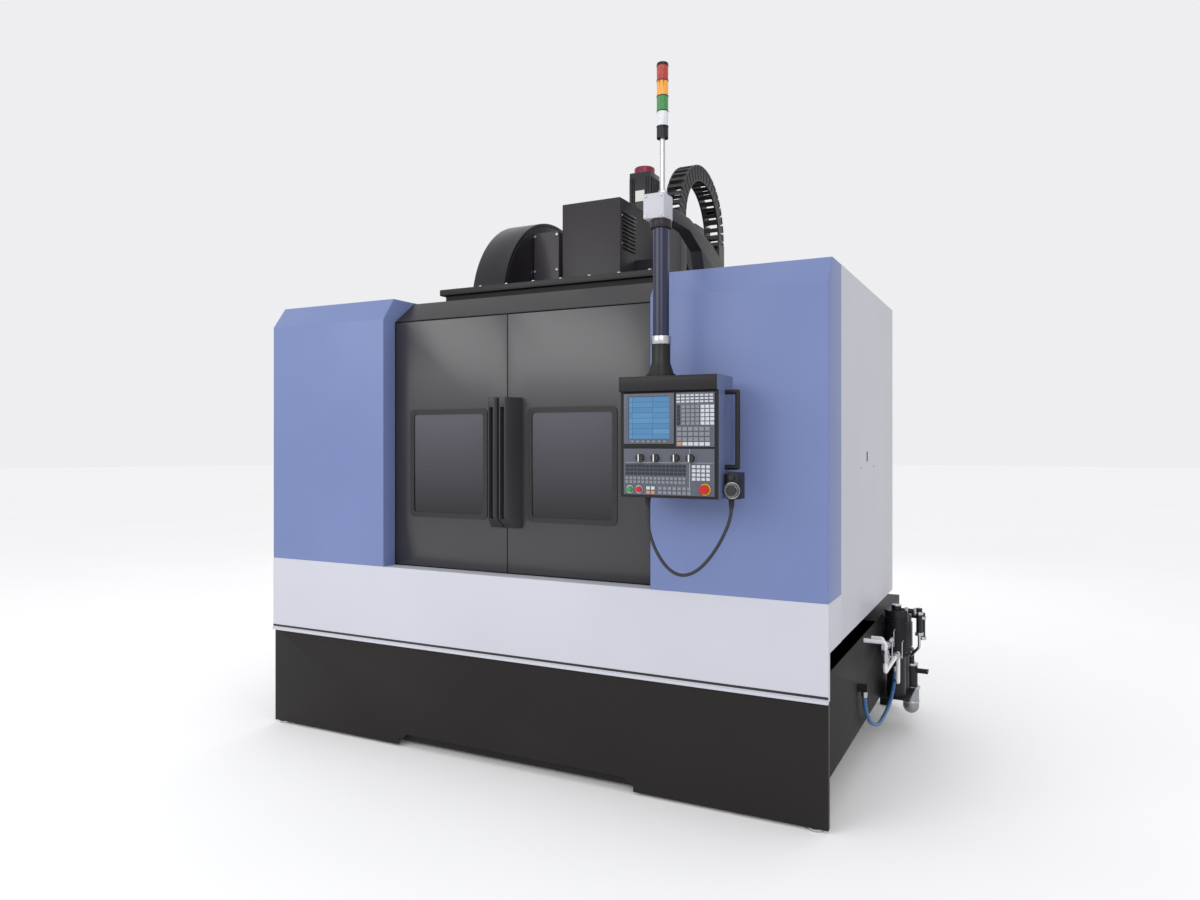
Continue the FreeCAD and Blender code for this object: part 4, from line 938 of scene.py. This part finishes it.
bands = []
for i in range(5):
    mid = Vector((*at(0.940, -0.200, 0).xy, first_lens + 0.065 * i))
    band = bar("band", mid - Vector((0, 0, 0.002)), mid + Vector((0, 0, 0.002)), 0.0262, 48)
    rim(band, Z, 0.001)
    bands.append(band)
finish(gather("lens_bands", bands), "root", black_plastic, 0.0006, 1)
nut = bar("pole_nut", at(0.940, -0.200, 2.689), at(0.940, -0.200, 2.706), 0.020, 6)
push(nut, upwards, (0, 0, 0.008), inset=0.005)
finish(nut, "root", zinc, 0.001)


# ------------------------ pendant housing
# A black moulded housing with a visor, its right side face blue grey. Its face carries a screen in a deep
# bezel, and a guard bar protects its right edge.

pendant_side_colour = coat("blue grey pendant side face", "#55607F", "#606B8C", 0.36)
housing = refold("pendant_housing", black_plastic, 0.004)
side_x = at(1.2215, 0, 0).x
bar_reach = at(1.2225, 0, 0).x
# The housing's right side face is coloured blue grey.
repaint(housing, pendant_side_colour, lambda c, n: n.x > 0.9 and side_x < c.x < bar_reach)

plate_paint = coat("slate panel foil", "#4D515C", "#565A65", 0.4, grain=0.002)
panels_face = refold("pendant_panels", plate_paint, 0.0008)

# A lit display: plain blue fields with thin dark rules between them.
display, tree, place = empty_material("lit display")
fields = add(tree, "TexBrick", {"Vector": add(tree, "Mapping", {
    "Vector": place, "Rotation": (math.radians(90), 0.0, 0.0)}).outputs[0],
    "Color1": linear("#3C6A90"), "Color2": linear("#477699"), "Mortar": linear("#274764"), "Scale": 1.0,
    "Mortar Size": 0.0008, "Brick Width": 0.0935, "Row Height": 0.0225, "offset": 0.0})
surface(tree, {"Base Color": fields.outputs["Color"], "Roughness": 0.12,
               "Emission Color": fields.outputs["Color"], "Emission Strength": 0.22})

bezel_low, bezel_high = at(0.821, -0.291, 1.643), at(1.011, -0.283, 1.825)
repaint(panels_face, black_plastic, lambda c, n: bezel_low.x < c.x < bezel_high.x
        and bezel_low.y < c.y and bezel_low.z < c.z < bezel_high.z)
glass = block("display_glass", at(0.8225, -0.2895, 1.6445), at(1.0095, -0.2888, 1.8235))
push(glass, forwards, (0, 0.0002, 0), inset=0.002)
finish(glass, "pendant", display)


# ------------------------ keys
# Soft keys round the display, a keypad in two sections, and rows of small keys on the operator plate.
# One key of each size is modelled and repeated. All lie a few millimetres proud of their plates.

def keys(name, width, height, places, material, face=-0.292):
    """One dished key, repeated at each (x, z) place on the pendant's face."""
    key = block(name, Vector((-width / 2, -0.0035, -height / 2)), Vector((width / 2, 0, height / 2)))
    push(key, forwards, (0, 0.0006, 0), inset=min(width, height) * 0.14)
    finish(repeat(name, key, [at(x, face, z) for x, z in places]), "pendant", material, 0.0006, 1)


def grid(first, pitch, count, levels):
    """The places of keys in columns from the first, at each of the levels."""
    return [(first + pitch * i, z) for i in range(count) for z in levels]


light_key = coat("pale key plastic", "#AEB2B8", "#BDC1C6", 0.4, grain=0.002)
mid_key = coat("grey key plastic", "#70747B", "#7D8188", 0.4, grain=0.002)
dark_key = coat("dark key plastic", "#26282D", "#303238", 0.4, grain=0.002)
tan_key = coat("tan key plastic", "#B07C58", "#BC8863", 0.4, grain=0.002)
green_plastic = coat("moulded green plastic", "#2C7A3C", "#358A46", 0.34, grain=0.002)

keypad_rows = (1.777, 1.760, 1.743, 1.726, 1.709)
keys("soft_keys", 0.014, 0.008, grid(0.842, 0.0246, 7, (1.634,)), mid_key)
keys("keypad_top", 0.0155, 0.008, grid(1.050, 0.0205, 8, (1.824, 1.811, 1.798)),
     light_key)
keys("keypad_letters", 0.0165, 0.0135,
     grid(1.072, 0.0205, 4, keypad_rows), mid_key)
keys("keypad_numbers", 0.0165, 0.0135,
     grid(1.156, 0.0205, 3, keypad_rows), light_key)
keys("keypad_edge", 0.012, 0.0135, grid(1.049, 0, 1, keypad_rows), dark_key)
keys("keypad_commands", 0.0205, 0.0165,
     grid(1.054, 0.0245, 6, (1.686, 1.665, 1.644)), mid_key)
keys("keypad_reset", 0.0205, 0.0150, [(1.0545, 1.6245)], tan_key)
keys("keypad_cursor", 0.0205, 0.0150, grid(1.079, 0.0245, 5, (1.6245,)), light_key)

keys("operator_dark_keys", 0.0135, 0.0115,
     grid(0.816, 0.0185, 15, (1.531, 1.515, 1.499)), dark_key)
keys("operator_mid_keys", 0.0135, 0.0115,
     grid(0.816, 0.0185, 15, (1.480, 1.464)), mid_key)
keys("operator_axis_keys", 0.0155, 0.0125,
     grid(1.118, 0.0205, 4, (1.531, 1.514, 1.497, 1.480)), light_key)
keys("operator_white_keys", 0.016, 0.013, grid(0.914, 0.0215, 2, (1.439,)), light_key)
keys("operator_tan_keys", 0.016, 0.013, grid(0.914, 0.0215, 2, (1.421,)), tan_key)
keys("operator_base_keys", 0.016, 0.013,
     grid(0.968, 0.0215, 7, (1.439, 1.421)), mid_key)

for name, low, high in (("plate_rules", at(1.0985, -0.2926, 1.412), at(1.0995, -0.292, 1.602)),
                        ("cross_rules", at(0.806, -0.2926, 1.5455), at(1.198, -0.292, 1.5463))):
    rule = block(name, low, high)
    push(rule, forwards, (0, 0.0002, 0), inset=0.0002)
    finish(rule, "pendant", label_stock)


# ------------------------ selector knobs and buttons
# Four fluted knobs over printed dials, a mushroom emergency stop on a yellow ring, and the start and hold
# buttons in their collars.

knob_grey = coat("knob plastic", "#2A2B2F", "#333438", 0.32, grain=0.002)
pointer_face = at(0, -0.3175, 0).y
knob_z = 1.565
for knob, x in (("mode_knob", 0.879), ("feed_knob", 0.948), ("rapid_knob", 1.038), ("spindle_knob", 1.104)):
    turned = refold(knob, knob_grey, 0.001)
    repaint(turned, label_stock, lambda c, n: c.y < pointer_face and n.y < -0.9)
    flutes = []
    for i in range(18):
        turn = math.tau * i / 18
        out = Vector((math.cos(turn), 0, math.sin(turn)))
        rib = bar("flute", at(x, -0.293, knob_z) + out * 0.0168, at(x, -0.309, knob_z) + out * 0.0164,
                  0.0016, 8)
        rim(rib, Y, 0.0004)
        flutes.append(rib)
    finish(gather(knob + "_flutes", flutes), knob, knob_grey, 0.0003, 1)
    ticks = []
    for i in range(13):
        turn = math.radians(240 - 25 * i)
        out = Vector((math.cos(turn), 0, math.sin(turn)))
        dial_centre = at(x, -0.2922, knob_z)
        mark = bar("tick", dial_centre + out * 0.0192, dial_centre + out * 0.0222, 0.0005, 6)
        rim(mark, out, 0.0001)
        ticks.append(mark)
    finish(gather(knob + "_dial", ticks), "pendant", label_stock)

refold("emergency_stop", red_plastic, 0.004)
stop_ring = bar("stop_ring", at(1.166, -0.292, 1.438), at(1.166, -0.2945, 1.438), 0.024, 64)
push(stop_ring, forwards, (0, 0.0022, 0), inset=0.004)
finish(stop_ring, "pendant", yellow_plate, 0.0008)
refold("start_button", green_plastic, 0.0015)
refold("hold_button", red_plastic, 0.0015)
for name, x in (("start_collar", 0.830), ("hold_collar", 0.872)):
    collar = bar(name, at(x, -0.292, 1.432), at(x, -0.2958, 1.432), 0.0165, 48)
    push(collar, forwards, (0, 0.0032, 0), inset=0.0035)
    finish(collar, "pendant", zinc, 0.0006)


# ------------------------ handwheel unit and strain reliefs
# The hand pulse generator: a black box with a pale dial ring round its wheel. Tapered rubber sleeves
# guard its lead at both ends, and crimped ferrules hold the coolant hose.

refold("handwheel_unit", black_plastic, 0.003)
refold("handwheel", knob_grey, 0.0015)
refold("axis_knob", knob_grey, 0.001)
wheel_x, wheel_z = 1.262, 1.434
dial = bar("handwheel_dial", at(wheel_x, -0.2380, wheel_z), at(wheel_x, -0.2382, wheel_z), 0.034, 96)
push(dial, forwards, (0, 0.00005, 0), inset=0.001)
finish(dial, "pendant", zinc)
ticks = []
for i in range(50):
    out = Vector((math.cos(math.tau * i / 50), 0, math.sin(math.tau * i / 50)))
    mark = bar("tick", at(wheel_x, -0.2504, wheel_z) + out * (0.024 if i % 5 else 0.021),
               at(wheel_x, -0.2504, wheel_z) + out * 0.0275, 0.0004, 6)
    rim(mark, out, 0.0001)
    ticks.append(mark)
finish(gather("handwheel_marks", ticks), "handwheel", label_stock)


def sleeve(name, top, length, wide, narrow, body, material):
    """A tapered sleeve down a cord from its fitting, with three ribs round it."""
    bpy.ops.object.select_all(action="DESELECT")
    bpy.ops.mesh.primitive_cone_add(vertices=40, radius1=narrow, radius2=wide, depth=length,
                                    location=top - Vector((0, 0, length / 2)))
    cone = applied(bpy.context.object)
    push(cone, downwards, (0, 0, 0.002), inset=narrow * 0.15)
    pieces = [cone]
    for share in (0.25, 0.5, 0.75):
        level = top - Vector((0, 0, length * share))
        radius = wide + (narrow - wide) * share + 0.0012
        rib = bar("rib", level - Vector((0, 0, 0.0015)), level + Vector((0, 0, 0.0015)), radius, 40)
        rim(rib, Z, 0.0006)
        pieces.append(rib)
    finish(gather(name, pieces), body, material, 0.0004, 1)


sleeve("lead_sleeve", lead_route[0], 0.030, 0.0115, 0.0085, "pendant", black_rubber)
sleeve("lead_end_sleeve", lead_route[-1], 0.030, 0.0115, 0.0085, "pendant", black_rubber)
sleeve("hose_ferrule", coolant_route[0], 0.028, 0.0150, 0.0125, "root", zinc)
sleeve("hose_end_ferrule", coolant_route[-1], 0.028, 0.0150, 0.0125, "root", zinc)
